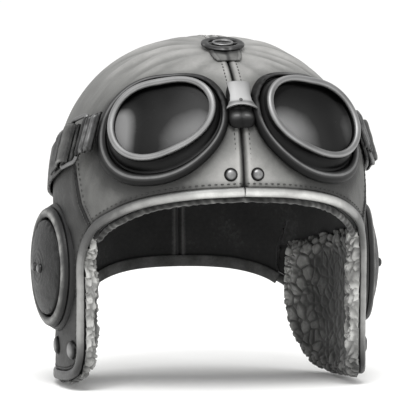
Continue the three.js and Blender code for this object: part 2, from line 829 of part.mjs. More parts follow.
function bezelSection() {
  const seat = bezelWidth - lipWidth;
  return [
    { grow: 0, out: -bezelEdge }, { grow: -bezelEdge, out: 0 }, { grow: bezelEdge - bezelWidth, out: 0 },
    { grow: -bezelWidth, out: -bezelEdge }, { grow: -bezelWidth, out: -lipDepth },
    { grow: -seat, out: -lipDepth }, { grow: -seat, out: -bezelDepth }, { grow: 0, out: -bezelDepth },
  ];
}

function bezel() {
  const section = bezelSection();
  const pointAt = (u, k) => {
    const angle = u * 2 * Math.PI;
    return lensPoint(lensOutline(angle) + section[k].grow, angle, section[k].out);
  };
  return barSolid(pointAt, 28, section.length, true);
}

function lens() {
  const rim = lipWidth - bezelWidth - touchGap;
  const top = -lipDepth - touchGap;
  const sheet = (out) => (u, v) => {
    const angle = u * 2 * Math.PI;
    return lensPoint((lensOutline(angle) + rim) * v, angle, out);
  };
  return wallSolid(sheet(top), sheet(top - lensWall), 28, 1, true);
}

// A cup's wall from behind the bezel down to its foot on the crown
function cup() {
  const wall = (inset) => (u, v) => {
    const angle = u * 2 * Math.PI;
    const rim = lensOutline(angle) - inset;
    const foot = cupReach * cupRow(angle, 'foot') - inset;
    const bow = Math.pow(v, cupBow);
    const low = seatedOnCrown(foot, angle, seatLift);
    return lensPoint(lerp(rim, foot, bow), angle, lerp(-bezelDepth - touchGap, low, v));
  };
  return wallSolid(wall(0), wall(cupWall), 24, 2, true);
}

// The padded roll round a cup's foot
function flange() {
  const sides = 6;
  const pointAt = (u, k) => {
    const angle = u * 2 * Math.PI;
    const width = flangeWidth * cupRow(angle, 'flange');
    const height = flangeHeight * cupRow(angle, 'rise');
    const spot = ovalSide(k, sides, height / 2, width / 2);
    const radius = cupReach * cupRow(angle, 'foot') + touchGap + width / 2 + spot.across;
    const foot = seatedOnCrown(radius, angle, seatLift + touchGap);
    return lensPoint(radius, angle, foot + height / 2 + spot.out);
  };
  return barSolid(pointAt, 24, sides, true);
}

// A pad that is thinner at its ends and sides
function nosePad() {
  const endPower = 4;
  const top = (u, v) => {
    const side = 2 * u - 1;
    const ends = 1 - nosePadEdge * Math.pow(Math.abs(2 * v - 1), endPower);
    return nosePadHeight * ends * (1 - (1 - nosePadEdge) * side * side);
  };
  const sheet = (liftAt) => (u, v) => {
    const y = shellPoint(0, levelAt(lerp(nosePadTopDrop, nosePadFootDrop, v))).y;
    return overCrown(lerp(-nosePadHalfWidth, nosePadHalfWidth, u), y, liftAt(u, v));
  };
  return wallSolid(sheet(top), sheet(() => seatLift), 4, 6);
}

function bridgeWidth(share) {
  const next = Math.max(1, bridgeShape.findIndex((row) => row.share >= share));
  const [from, to] = [bridgeShape[next - 1], bridgeShape[next]];
  return bridgeHalfWidth * lerp(from.half, to.half, (share - from.share) / (to.share - from.share));
}

// The plate's inner face clears the flanges beside the nose pad
function bridgeLift(x, share) {
  const side = Math.min(Math.abs(x) / bridgeHalfWidth, 1);
  const bow = bridgeBow * (1 - side * side) * (1 - share);
  return seatLift + flangeHeight * bridgeSeat + 2 * touchGap + bow;
}

function bridgePlate() {
  const sheet = (lift) => (u, v) => {
    const drop = lerp(bridgeTopDrop, bridgeFootDrop, v);
    const x = lerp(-1, 1, u) * bridgeWidth(v);
    const y = shellPoint(0, levelAt(drop)).y;
    return overCrown(x, y, bridgeLift(x, v) + lift);
  };
  return wallSolid(sheet(bridgeWall), sheet(0), 6, 4);
}

function bridgeScrew() {
  const share = 0.75;
  const frame = shellFrame(0, levelAt(lerp(bridgeTopDrop, bridgeFootDrop, share)));
  const lift = bridgeLift(0, share) + touchGap + bridgeWall;
  const screw = addPiece('bridge_screw', dome(bridgeScrewRadius, bridgeScrewHeight, 8), 'metal');
  stand(screw, frame.point.addScaledVector(frame.out, lift), frame.out);
}

// A point over the strap's line: turn in degrees, place across the strap and lift off the crown
function overStrap(turnDegrees, across, lift) {
  const turn = degToRad(turnDegrees);
  const around = Math.PI - Math.abs(Math.PI - turn);
  const side = turn > Math.PI ? -1 : 1;
  const frame = shellFrame(around, levelAt(strapDrop(around)));
  const point = frame.point.addScaledVector(frame.out, lift).addScaledVector(frame.down, across);
  return sided(point, side);
}

const foldLift = strapLift + strapWall + 1.5 * touchGap;
const loopLift = foldLift + loopWire / 2;

function strap() {
  const sheet = (lift) => (u, v) => {
    const turn = lerp(strapStartTurn, 360 - strapStartTurn, u);
    return overStrap(turn, (v - 0.5) * strapWidth, lift);
  };
  return wallSolid(sheet(strapLift + strapWall), sheet(strapLift), 32, 1);
}

// A thick strip along the strap's line: a row for each step with its turn and its two lifts
function strapStrip(rows, width) {
  const sheet = (face) => (u, v) => {
    const row = rows[Math.round(u * (rows.length - 1))];
    return overStrap(row.turn, (v - 0.5) * width, row[face]);
  };
  return wallSolid(sheet('high'), sheet('low'), rows.length - 1, 1);
}

// The strap's end, folded over the back bar of its wire loop
function strapFold() {
  const rows = foldRows.map((row) => ({
    turn: loopBackTurn + row.near * foldNoseTurn + row.far * (foldEndTurn - loopBackTurn),
    low: foldLift + row.over * (loopWire + touchGap),
    high: foldLift + row.rise * foldRise,
  }));
  return strapStrip(rows, strapWidth - 2 * touchGap);
}

// A wire loop with two bars along the strap's width and two along its length
function wireLoop() {
  const corner = radToDeg(loopCorner / halfWidth);
  const half = loopHeight / 2 - loopWire / 2;
  const straight = half - loopCorner;
  const path = [
    [loopFrontTurn, straight], [loopFrontTurn + corner, half],
    [loopBackTurn - corner, half], [loopBackTurn, straight],
    [loopBackTurn, -straight], [loopBackTurn - corner, -half],
    [loopFrontTurn + corner, -half], [loopFrontTurn, -straight],
  ];
  const sides = 6;
  const pointAt = (u, k) => {
    const index = Math.round(u * path.length) % path.length;
    const [turn, across] = path[index];
    const spot = ovalSide(k, sides, loopWire / 2, loopWire / 2);
    const middle = (loopFrontTurn + loopBackTurn) / 2;
    const aside = (turn - middle) / (loopBackTurn - middle);
    const outward = new THREE.Vector2(aside, across / half).normalize();
    const turnStep = (outward.x * spot.across) / (halfWidth * degToRad(1));
    return overStrap(turn + turnStep, across + outward.y * spot.across, loopLift + spot.out);
  };
  return barSolid(pointAt, path.length, sides, true);
}

// The ribbed bracket: from beside the cup over its flange, then hooked over the front bar of the loop
function strapBracket() {
  const overFlange = seatLift + flangeHeight * cupRows[0].rise + 4 * touchGap;
  const overBar = foldLift + loopWire + touchGap;
  const barSide = loopFrontTurn - bracketHookTurn;
  const rows = bracketRows.map((row) => ({
    turn: lerp(bracketFrontTurn, barSide, row.along) + row.hook * bracketHookTurn,
    low: strapLift + row.flange * (overFlange - strapLift) + row.bar * (overBar - strapLift),
    high: overBar + bracketWall + row.rib * bracketRib,
  }));
  return strapStrip(rows, strapWidth);
}

const tabLift = 2 * touchGap;
const buckleLift = tabLift + tabWall + touchGap + buckleWire / 2;

function crownTab() {
  const sheet = (lift) => (u, v) => {
    const x = lerp(-0.5, 0.5, u) * tabWidth * (1 - tabTaper * Math.pow(2 * v - 1, 2));
    return overCrown(x, lerp(0.5, -0.5, v) * tabLength - tabCentre, lift);
  };
  return wallSolid(sheet(tabLift + tabWall), sheet(tabLift), 4, 5);
}

// An oval ring lying on the tab
function buckleRing() {
  const sides = 6;
  const half = buckleWire / 2;
  const pointAt = (u, k) => {
    const angle = u * 2 * Math.PI;
    const spot = ovalSide(k, sides, half, half);
    const x = (buckleWidth / 2 - half + spot.across) * Math.cos(angle);
    const y = (buckleLength / 2 - half + spot.across) * Math.sin(angle);
    return overCrown(x, y - buckleCentre, buckleLift + spot.out);
  };
  return barSolid(pointAt, 16, sides, true);
}

function buckleBar() {
  const sides = 6;
  const reach = (buckleWidth - buckleWire) / 2;
  const pointAt = (u, k) => {
    const spot = ovalSide(k, sides, buckleBarWire / 2, buckleBarWire / 2);
    return overCrown(lerp(-reach, reach, u), spot.across - buckleCentre, buckleLift + spot.out);
  };
  return barSolid(pointAt, 4, sides);
}

// Crown, flaps, lining and edge
for (const side of [1, -1]) {
  const name = side > 0 ? 'left' : 'right';
  addPiece(`crown_${name}`, crownHalf(side), 'leather');
  addPiece(`flap_${name}`, flapPanel(side), 'leather');
  addPiece(`lining_${name}`, liningHalf(side), 'lining');
  addPiece(`edge_binding_${name}`, edgeBinding(side), 'piping');
  addPads(side);
}
addPiece('brow_roll', browRoll(), 'fleece');
addPiece('nape_hem', napeHem(), 'lining');
addPair('flap_fleece', flapFleece(), 'fleece');
addPair('pad_base', padBase(), 'pad');

// Goggles with their bridge, strap and fastenings
addPair('goggle_bezel', bezel(), 'metal');
addPair('goggle_lens', lens(), 'glass');
addPair('goggle_cup', cup(), 'rubber');
addPair('goggle_flange', flange(), 'rubber');
addPiece('nose_pad', nosePad(), 'rubber');
addPiece('bridge_plate', bridgePlate(), 'metal');
bridgeScrew();
addPiece('goggle_strap', strap(), 'strap');
addPair('strap_fold', strapFold(), 'strap');
addPair('strap_loop', wireLoop(), 'metal');
addPair('strap_bracket', strapBracket(), 'darkMetal');

// Tab and buckle on the crown
addPiece('crown_tab', crownTab(), 'leather');
addPiece('crown_buckle', joined(buckleRing(), buckleBar()), 'darkMetal');

// Rivets of the brow and snaps of the flaps, each set down on the faces of the leather under it
function addStud(name, bearer, { turn, drop, radius, height }, side) {
  const rimSteps = 6;
  const frame = shellFrame(turn, levelAt(drop));
  const out = sided(frame.out, side);
  const centre = sided(frame.point, side);
  const leather = helmet.getObjectByName(bearer);
  const stud = stand(addPiece(name, dome(radius, height, 10), 'darkMetal'), centre, out);
  let lift = -leatherWall;
  for (let i = 0; i < rimSteps; i++) {
    const angle = (i / rimSteps) * 2 * Math.PI;
    const rim = new THREE.Vector3(radius * Math.cos(angle), radius * Math.sin(angle), crownWidth);
    const start = rim.applyQuaternion(stud.quaternion).add(centre);
    const [hit] = new THREE.Raycaster(start, out.clone().negate()).intersectObject(leather);
    if (hit) lift = Math.max(lift, crownWidth - hit.distance);
  }
  stud.position.addScaledVector(out, lift + touchGap);
}

for (const side of [1, -1]) {
  const name = side > 0 ? 'left' : 'right';
  const browPlan = shellPoint(0, levelAt(browRivetDrop));
  const browTurn = Math.atan2(browRivetSpread, -browPlan.y);
  const browRivet = { turn: browTurn, drop: browRivetDrop, radius: browRivetRadius, height: browRivetHeight };
  const snap = { drop: flapDrop - snapRise, radius: snapRadius, height: snapHeight };
  addStud(`brow_rivet_${name}`, `crown_${name}`, browRivet, side);
  addStud(`flap_snap_front_${name}`, `flap_${name}`, { turn: degToRad(frontSnapTurn), ...snap }, side);
  addStud(`flap_snap_back_${name}`, `flap_${name}`, { turn: degToRad(backSnapTurn), ...snap }, side);
}

export default helmet;
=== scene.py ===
from functools import lru_cache
from math import acos, asin, atan2, cos, exp, floor, hypot, pi, radians, sin, sqrt

import bmesh
import bpy
from mathutils import Matrix, Vector, noise


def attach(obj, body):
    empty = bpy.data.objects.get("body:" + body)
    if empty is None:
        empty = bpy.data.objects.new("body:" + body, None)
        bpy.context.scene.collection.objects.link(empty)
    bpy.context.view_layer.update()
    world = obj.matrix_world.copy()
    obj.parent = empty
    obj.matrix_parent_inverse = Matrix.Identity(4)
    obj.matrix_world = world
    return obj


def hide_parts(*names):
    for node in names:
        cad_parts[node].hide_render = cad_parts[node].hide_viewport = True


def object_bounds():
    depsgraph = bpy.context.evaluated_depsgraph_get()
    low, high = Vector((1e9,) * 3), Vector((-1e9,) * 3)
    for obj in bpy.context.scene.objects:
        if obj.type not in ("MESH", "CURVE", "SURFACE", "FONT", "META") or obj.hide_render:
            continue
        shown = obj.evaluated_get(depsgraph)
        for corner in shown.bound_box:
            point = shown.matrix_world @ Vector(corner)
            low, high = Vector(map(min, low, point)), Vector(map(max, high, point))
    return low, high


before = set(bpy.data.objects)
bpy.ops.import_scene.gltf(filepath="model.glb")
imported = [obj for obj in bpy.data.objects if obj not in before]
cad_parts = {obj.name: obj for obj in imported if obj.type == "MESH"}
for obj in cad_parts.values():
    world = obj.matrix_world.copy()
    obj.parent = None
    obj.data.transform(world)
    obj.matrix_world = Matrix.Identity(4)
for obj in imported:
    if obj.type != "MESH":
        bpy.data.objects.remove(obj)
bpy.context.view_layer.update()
mm = 0.001


def lerp(a, b, share):
    return a + (b - a) * share


def clamp(value, low=0.0, high=1.0):
    return max(low, min(high, value))


def smooth(low, high, value):  # 0 below low, 1 above high, soft in between
    share = clamp((value - low) / (high - low))
    return share * share * (3 - 2 * share)


def bump(value, middle, width):
    return exp(-(((value - middle) / width) ** 2))


def squared(value, power):  # keeps the sign, and squares a round section where the power is under 1
    return (1 if value > 0 else -1) * abs(value) ** power


def rowAt(rows, share):  # a table's row at a share of its length, by straight steps between the rows
    place = share * (len(rows) - 1)
    first = min(int(place), len(rows) - 2)
    return [lerp(a, b, place - first) for a, b in zip(rows[first], rows[first + 1])]


def ripple(point, size, shift=0.0):  # smooth noise from -1 to 1 with features of that size in mm
    return noise.noise((point + Vector((shift, shift * 1.7, -shift))) / size)


# Colours are sRGB hex, and the shaders take linear numbers
def linearHex(code):
    parts = [int(code[i:i + 2], 16) / 255 for i in (1, 3, 5)]
    return [c / 12.92 if c <= 0.04045 else ((c + 0.055) / 1.055) ** 2.4 for c in parts] + [1.0]


def addNode(tree, kind, settings=None, links=None, stops=()):  # stops are (place, hex) for a ramp
    node = tree.nodes.new(kind)
    for key, value in (settings or {}).items():
        if isinstance(key, str) and hasattr(node, key):
            setattr(node, key, value)
        else:
            node.inputs[key].default_value = value
    for key, source in (links or {}).items():
        tree.links.new(source, node.inputs[key])
    if stops:
        elements = node.color_ramp.elements
        while len(elements) < len(stops):
            elements.new(1.0)
        for element, (place, colour) in zip(elements, stops):
            element.position = place
            element.color = linearHex(colour)
    return node


# Gives a material, its tree and shader, the place on the piece and the mesh's tone
def newMaterial(name, settings):
    material = bpy.data.materials.new(name)
    material.use_nodes = True
    tree = material.node_tree
    tree.nodes.clear()
    shader = addNode(tree, "ShaderNodeBsdfPrincipled", settings)
    addNode(tree, "ShaderNodeOutputMaterial", links={"Surface": shader.outputs["BSDF"]})
    place = addNode(tree, "ShaderNodeTexCoord").outputs["Object"]
    tone = addNode(tree, "ShaderNodeAttribute", {"attribute_name": "tone"}).outputs["Fac"]
    return material, tree, shader, place, tone


# Adds each pattern's centred share to the tone and turns the sum into the base colour
def paint(tree, shader, tone, patterns, colours):
    for pattern, share in patterns:
        centred = addNode(tree, "ShaderNodeMath", {"operation": "MULTIPLY_ADD", 1: share, 2: -share / 2},
                          {0: pattern})
        tone = addNode(tree, "ShaderNodeMath", {"operation": "ADD"},
                       {0: tone, 1: centred.outputs[0]}).outputs[0]
    ramp = addNode(tree, "ShaderNodeValToRGB", links={"Fac": tone}, stops=colours)
    tree.links.new(ramp.outputs["Color"], shader.inputs["Base Color"])


# Materials. Each reads the mesh's own tone attribute, 0 dark and 1 light: wear, dirt, painted shade and
# highlights.
def leatherMaterial(name, look):
    material, tree, shader, place, tone = newMaterial(name, {"IOR": 1.5, "Specular IOR Level": look["gloss"]})
    cloud = addNode(tree, "ShaderNodeTexNoise",
                    {"Scale": 1 / (look["cloudMm"] * mm), "Detail": 5.0, "Roughness": 0.6},
                    {"Vector": place}).outputs["Fac"]
    scuff = addNode(tree, "ShaderNodeTexNoise", {"Scale": 1 / (look["scuffMm"] * mm), "Detail": 6.0,
                                                 "Roughness": 0.72, "Distortion": 0.6},
                    {"Vector": place}).outputs["Fac"]
    cells = addNode(tree, "ShaderNodeTexVoronoi", {"Scale": 1 / (look["grainMm"] * mm), "Randomness": 1.0},
                    {"Vector": place}).outputs["Distance"]
    pores = addNode(tree, "ShaderNodeTexNoise", {"Scale": 2.2 / (look["grainMm"] * mm), "Detail": 3.0},
                    {"Vector": place}).outputs["Fac"]
    paint(tree, shader, tone, [(cloud, look["cloudShare"]), (scuff, look["scuffShare"])], look["colours"])
    spread = addNode(tree, "ShaderNodeMapRange",
                     {"From Min": 0.3, "From Max": 0.7, "To Min": look["rough"][0],
                      "To Max": look["rough"][1]}, {"Value": scuff})
    tree.links.new(spread.outputs["Result"], shader.inputs["Roughness"])
    skin = addNode(tree, "ShaderNodeMath", {"operation": "MULTIPLY_ADD", 1: 0.5},
                   {0: pores, 2: cells}).outputs[0]
    lump = addNode(tree, "ShaderNodeMath", {"operation": "MULTIPLY_ADD", 1: look["scuffLift"]},
                   {0: scuff, 2: skin})
    relief = addNode(tree, "ShaderNodeBump", {"Strength": look["bump"], "Distance": look["bumpMm"] * mm},
                     {"Height": lump.outputs[0]})
    tree.links.new(relief.outputs["Normal"], shader.inputs["Normal"])
    return material


# Chrome-tanned sheepskin, drum-dyed and worn: a soft grain, grey clouds and crests painted pale as a painted
# highlight
crownLeather = leatherMaterial("wornSheepskinLeather", {
    "colours": [(0.0, "#0e0e0e"), (0.35, "#363635"), (0.7, "#6c6c6a"), (1.0, "#9d9c9a")],
    "gloss": 0.3, "rough": (0.5, 0.68), "cloudMm": 34, "cloudShare": 0.2, "scuffMm": 6, "scuffShare": 0.2,
    "grainMm": 1.3, "bump": 0.3, "bumpMm": 0.26, "scuffLift": 0.7})

# Rolled calf binding, polished by handling: brighter and smoother than the panels
bindingLeather = leatherMaterial("rolledCalfBinding", {
    "colours": [(0.0, "#121212"), (0.4, "#4c4c4b"), (0.75, "#939391"), (1.0, "#cfcfcc")],
    "gloss": 0.5, "rough": (0.32, 0.48), "cloudMm": 18, "cloudShare": 0.16, "scuffMm": 4, "scuffShare": 0.18,
    "grainMm": 0.9, "bump": 0.25, "bumpMm": 0.22, "scuffLift": 0.6})

# Moulded and waxed cowhide over the ear cups: dark, with mottled scuffs and a painted highlight on its crests
padLeather = leatherMaterial("mouldedWaxedCowhide", {
    "colours": [(0.0, "#060606"), (0.35, "#1d1d1d"), (0.7, "#4b4b4a"), (1.0, "#8c8c8a")],
    "gloss": 0.28, "rough": (0.4, 0.6), "cloudMm": 10, "cloudShare": 0.34, "scuffMm": 2.6, "scuffShare": 0.36,
    "grainMm": 0.9, "bump": 0.4, "bumpMm": 0.3, "scuffLift": 1.1})

# Black goggle padding of kid leather over felt: near black, with a soft wide highlight
gogglePadding = leatherMaterial("blackKidLeatherPadding", {
    "colours": [(0.0, "#020202"), (0.4, "#111111"), (0.75, "#333333"), (1.0, "#787878")],
    "gloss": 0.14, "rough": (0.42, 0.54), "cloudMm": 16, "cloudShare": 0.12, "scuffMm": 3, "scuffShare": 0.1,
    "grainMm": 0.8, "bump": 0.2, "bumpMm": 0.15, "scuffLift": 0.5})

# Oiled harness leather of the strap: dark, cracked across, grey where it bends
strapLeather = leatherMaterial("oiledHarnessLeather", {
    "colours": [(0.0, "#080808"), (0.35, "#242424"), (0.7, "#4b4b4a"), (1.0, "#8c8c8a")],
    "gloss": 0.32, "rough": (0.4, 0.62), "cloudMm": 12, "cloudShare": 0.35, "scuffMm": 2.4, "scuffShare": 0.4,
    "grainMm": 0.8, "bump": 0.45, "bumpMm": 0.3, "scuffLift": 1.0})


def suedeMaterial(name, look):
    material, tree, shader, place, tone = newMaterial(name, {
        "IOR": 1.45, "Roughness": 0.95, "Specular IOR Level": 0.15, "Sheen Weight": look["sheen"],
        "Sheen Roughness": 0.6})
    nap = addNode(tree, "ShaderNodeTexNoise",
                  {"Scale": 1 / (look["napMm"] * mm), "Detail": 8.0, "Roughness": 0.75},
                  {"Vector": place}).outputs["Fac"]
    patch = addNode(tree, "ShaderNodeTexNoise", {"Scale": 1 / (look["patchMm"] * mm), "Detail": 3.0},
                    {"Vector": place}).outputs["Fac"]
    paint(tree, shader, tone, [(nap, look["napShare"]), (patch, 0.3)], look["colours"])
    relief = addNode(tree, "ShaderNodeBump", {"Strength": look["bump"], "Distance": look["bumpMm"] * mm},
                     {"Height": nap})
    tree.links.new(relief.outputs["Normal"], shader.inputs["Normal"])
    return material


# Brushed suede cloth of the lining: matt, very dark, with a short nap drawn coarse enough to show
liningSuede = suedeMaterial("brushedSuedeLining", {
    "colours": [(0.0, "#101010"), (0.5, "#303030"), (1.0, "#666665")],
    "napMm": 2.2, "patchMm": 25, "napShare": 0.5, "bump": 0.4, "bumpMm": 0.4, "sheen": 0.12})

# Undyed shearling: pale curled wool, with painted shade in its creases, and darker where matted, partly
# painted shade
shearling = suedeMaterial("curledShearlingWool", {
    "colours": [(0.0, "#131312"), (0.3, "#3b3b3a"), (0.6, "#7d7d7b"), (1.0, "#cfcfcc")],
    "napMm": 1.4, "patchMm": 14, "napShare": 0.2, "bump": 0.35, "bumpMm": 0.3, "sheen": 0.2})


def metalMaterial(name, look):
    material, tree, shader, place, tone = newMaterial(name, {"Metallic": 1.0})
    haze = addNode(tree, "ShaderNodeTexNoise",
                   {"Scale": 1 / (look["hazeMm"] * mm), "Detail": 6.0, "Roughness": 0.65},
                   {"Vector": place}).outputs["Fac"]
    pits = addNode(tree, "ShaderNodeTexNoise", {"Scale": 1 / (look["pitMm"] * mm), "Detail": 4.0},
                   {"Vector": place})
    paint(tree, shader, tone, [(haze, look["hazeShare"])], look["colours"])
    spread = addNode(tree, "ShaderNodeMapRange",
                     {"From Min": 0.3, "From Max": 0.75, "To Min": look["rough"][0],
                      "To Max": look["rough"][1]}, {"Value": haze})
    tree.links.new(spread.outputs["Result"], shader.inputs["Roughness"])
    relief = addNode(tree, "ShaderNodeBump", {"Strength": look["pits"], "Distance": 0.1 * mm},
                     {"Height": pits.outputs["Fac"]})
    tree.links.new(relief.outputs["Normal"], shader.inputs["Normal"])
    return material


# Nickel-plated brass, hand-rubbed: bright neutral grey with a haze of fine scratches
nickelPlate = metalMaterial("rubbedNickelPlate", {
    "colours": [(0.0, "#101010"), (0.5, "#626262"), (1.0, "#a6a6a6")],
    "rough": (0.5, 0.6), "hazeMm": 9, "hazeShare": 0.12, "pitMm": 0.7, "pits": 0.02})

# Blackened steel of rivets and buckle: dark, with painted highlights on its crests
blackenedSteel = metalMaterial("blackenedSteel", {
    "colours": [(0.0, "#0c0c0c"), (0.5, "#444444"), (1.0, "#b0b0b0")],
    "rough": (0.34, 0.5), "hazeMm": 3, "hazeShare": 0.3, "pitMm": 0.7, "pits": 0.12})


def glassMaterial():
    # Smoked laminated glass over a black interior: dark, with thin dust and a painted reflection as a soft
    # grey bloom
    material, tree, shader, place, tone = newMaterial("smokedGogglesGlass", {
        "IOR": 1.52, "Specular IOR Level": 0.07})
    dust = addNode(tree, "ShaderNodeTexNoise", {"Scale": 1 / (18 * mm), "Detail": 4.0},
                   {"Vector": place}).outputs["Fac"]
    paint(tree, shader, tone, [(dust, 0.2)], [(0.0, "#030303"), (0.5, "#1f1f1f"), (1.0, "#6c6c6c")])
    spread = addNode(tree, "ShaderNodeMapRange",
                     {"From Min": 0, "From Max": 1, "To Min": 0.2, "To Max": 0.32}, {"Value": dust})
    tree.links.new(spread.outputs["Result"], shader.inputs["Roughness"])
    return material


smokedGlass = glassMaterial()


def threadMaterial():
    # Waxed linen thread: matt grey, two plies seen as faint slanted bands
    material, tree, shader, place, tone = newMaterial("waxedLinenThread", {
        "Roughness": 0.7, "IOR": 1.5, "Specular IOR Level": 0.3})
    ply = addNode(tree, "ShaderNodeTexNoise", {"Scale": 1 / (0.8 * mm), "Detail": 2.0},
                  {"Vector": place}).outputs["Fac"]
    shade = addNode(tree, "ShaderNodeMath", {"operation": "MULTIPLY_ADD", 1: 0.3},
                    {0: ply, 2: tone}).outputs[0]
    paint(tree, shader, shade, [], [(0.0, "#101010"), (0.6, "#3c3c3b"), (1.0, "#8c8c8a")])
    relief = addNode(tree, "ShaderNodeBump", {"Strength": 0.3, "Distance": 0.15 * mm}, {"Height": ply})
    tree.links.new(relief.outputs["Normal"], shader.inputs["Normal"])
    return material


linenThread = threadMaterial()
print("materials ready")

# The helmet's outer face, in mm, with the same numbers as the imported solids
shell = {"halfWidth": 94.2, "browReach": 105.5, "napeReach": 98, "crownHeight": 98, "planPower": 2.2,
         "domePower": 2.2, "wallLean": 1.5, "flapDrop": 210, "crownWall": 5.4, "leatherWall": 2.2,
         "layerGap": 1.2, "seamGap": 0.3}


def levelAt(drop):
    if drop >= shell["crownHeight"]:
        return drop / shell["crownHeight"]
    return acos((1 - drop / shell["crownHeight"]) ** (shell["domePower"] / 2)) / (pi / 2)


def planRadius(turn):
    reach = shell["browReach"] if cos(turn) > 0 else shell["napeReach"]
    ahead = (abs(cos(turn)) / reach) ** shell["planPower"]
    aside = (abs(sin(turn)) / shell["halfWidth"]) ** shell["planPower"]
    return (ahead + aside) ** (-1 / shell["planPower"])


def shellPoint(turn, level):
    arc = min(level, 1) * pi / 2
    below = max(level - 1, 0) * shell["crownHeight"]
    lean = 1 - (shell["wallLean"] / shell["halfWidth"]) * (below / (shell["flapDrop"] - shell["crownHeight"]))
    radius = planRadius(turn) * max(sin(arc), 0) ** (2 / shell["domePower"]) * lean
    height = max(cos(arc), 0) ** (2 / shell["domePower"]) * shell["crownHeight"]
    return Vector((radius * sin(turn), -radius * cos(turn),
                   shell["crownWall"] - shell["crownHeight"] + height - below))


def shellFrame(turn, level):  # point on the outer face, along it, down it and out of it
    step = 0.01
    at = max(level, 2 * step)
    along = (shellPoint(turn + step, at) - shellPoint(turn - step, at)).normalized()
    down = (shellPoint(turn, at + step) - shellPoint(turn, at - step)).normalized()
    out = Vector((0, 0, 1)) if level < step else down.cross(along).normalized()
    return shellPoint(turn, level), along, down, out


def onShell(turn, level, lift):
    point, along, down, out = shellFrame(turn, level)
    return point + out * lift


def levelUnder(x, y):
    share = hypot(x, y) / planRadius(atan2(x, -y))
    return asin(min(share ** (shell["domePower"] / 2), 1)) / (pi / 2)


def overCrown(x, y, lift):
    return onShell(atan2(x, -y), levelUnder(x, y), lift)


def sided(point, side):
    return Vector((point.x * side, point.y, point.z))


# The helmet's edge over the unrolled wall: turns in degrees, drops in mm
edge = {"browDrop": 91, "templeDrop": 123, "napeCornerDrop": 160, "napeDrop": 149, "frontTurn": 62,
        "backTurn": 137}
browRun = [(0, 0), (0.26, 0.05), (0.53, 0.22), (0.73, 0.475), (0.88, 0.75)]
flapRun = [(0, 0.1), (0.01, 0.35), (0.015, 0.6), (0.025, 0.8), (0.065, 0.9), (0.16, 0.955), (0.36, 0.985),
           (0.58, 1), (0.74, 0.98), (0.84, 0.91), (0.91, 0.79), (0.96, 0.64), (0.99, 0.48)]
napeRun = [(0.13, 0.2), (0.3, 0.58), (0.52, 0.85), (0.76, 0.97), (1, 1)]


def edgeRows(run, turns, drops):
    return [Vector((radians(lerp(*turns, turn)) * shell["halfWidth"], lerp(*drops, drop), 0))
            for turn, drop in run]


edgePlaces = (edgeRows(browRun, (0, edge["frontTurn"]), (edge["browDrop"], edge["templeDrop"]))
              + edgeRows(flapRun, (edge["frontTurn"], edge["backTurn"]),
                         (edge["templeDrop"], shell["flapDrop"]))
              + edgeRows(napeRun, (edge["backTurn"], 180), (edge["napeCornerDrop"], edge["napeDrop"])))
lastRow = len(edgePlaces) - 1
flapLastRow = len(browRun) + len(flapRun) - 1


@lru_cache(maxsize=None)
def edgePoint(row):  # a smooth curve through the rows, with knots spaced by the root of their distance
    row = clamp(row, 0, lastRow)
    first = min(int(floor(row)), lastRow - 1)
    share = row - first
    p1, p2 = edgePlaces[first], edgePlaces[first + 1]
    p0 = edgePlaces[first - 1] if first > 0 else p1 * 2 - p2
    p3 = edgePlaces[first + 2] if first + 2 <= lastRow else p2 * 2 - p1
    d0, d1, d2 = (max((a - b).length, 1e-4) ** 0.5 for a, b in ((p0, p1), (p1, p2), (p2, p3)))
    t1 = ((p1 - p0) / d0 - (p2 - p0) / (d0 + d1) + (p2 - p1) / d1) * d1
    t2 = ((p2 - p1) / d1 - (p3 - p1) / (d1 + d2) + (p3 - p2) / d2) * d1
    return (p1 + t1 * share + (p2 * 3 - p1 * 3 - t1 * 2 - t2) * share ** 2
            + (p1 * 2 - p2 * 2 + t1 + t2) * share ** 3)


@lru_cache(maxsize=None)
def edgeAt(row, inset):  # turn and level on the edge at a row, moved in from it
    place = edgePoint(row)
    run = (edgePoint(min(row + 0.003, lastRow)) - edgePoint(max(row - 0.003, 0))).normalized()
    return clamp((place.x + run.y * inset) / shell["halfWidth"], 0, pi), levelAt(place.y - run.x * inset)


def edgeLength():
    steps = 40 * lastRow
    lengths = [0.0]
    for i in range(steps):
        lengths.append(lengths[-1] + (edgePoint((i + 1) / 40) - edgePoint(i / 40)).length)
    return lengths


edgeLengths = edgeLength()


def rowAtLength(length):  # row of the edge at a length along it in mm
    low, high = 0, len(edgeLengths) - 1
    while high - low > 1:
        middle = (low + high) // 2
        low, high = (middle, high) if edgeLengths[middle] < length else (low, middle)
    return (low + clamp((length - edgeLengths[low]) / max(edgeLengths[high] - edgeLengths[low], 1e-6))) / 40


# From a bmesh to a dressed piece: doubled points joined, faces outward, its body and replaced node
def finishMesh(name, bm, material, slotName, node, solid=None, outward=None, closed=False):
    bmesh.ops.remove_doubles(bm, verts=bm.verts, dist=2e-6)
    if closed:
        bmesh.ops.recalc_face_normals(bm, faces=bm.faces)
    elif outward is not None:
        lean = sum((face.calc_center_median() - outward * mm).dot(face.normal) * face.calc_area()
                   for face in bm.faces)
        if lean < 0:
            bmesh.ops.reverse_faces(bm, faces=bm.faces)
    mesh = bpy.data.meshes.new(name)
    bm.to_mesh(mesh)
    bm.free()
    mesh.shade_smooth()
    piece = bpy.data.objects.new(name, mesh)
    bpy.context.scene.collection.objects.link(piece)
    mesh.materials.append(material)
    if solid:
        wall = piece.modifiers.new("wall", "SOLIDIFY")
        wall.thickness = solid * mm
        wall.offset = -1
    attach(piece, "root")
    if node:
        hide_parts(node)
    return piece


def toneLayer(bm):
    return bm.verts.layers.float.get("tone") or bm.verts.layers.float.new("tone")


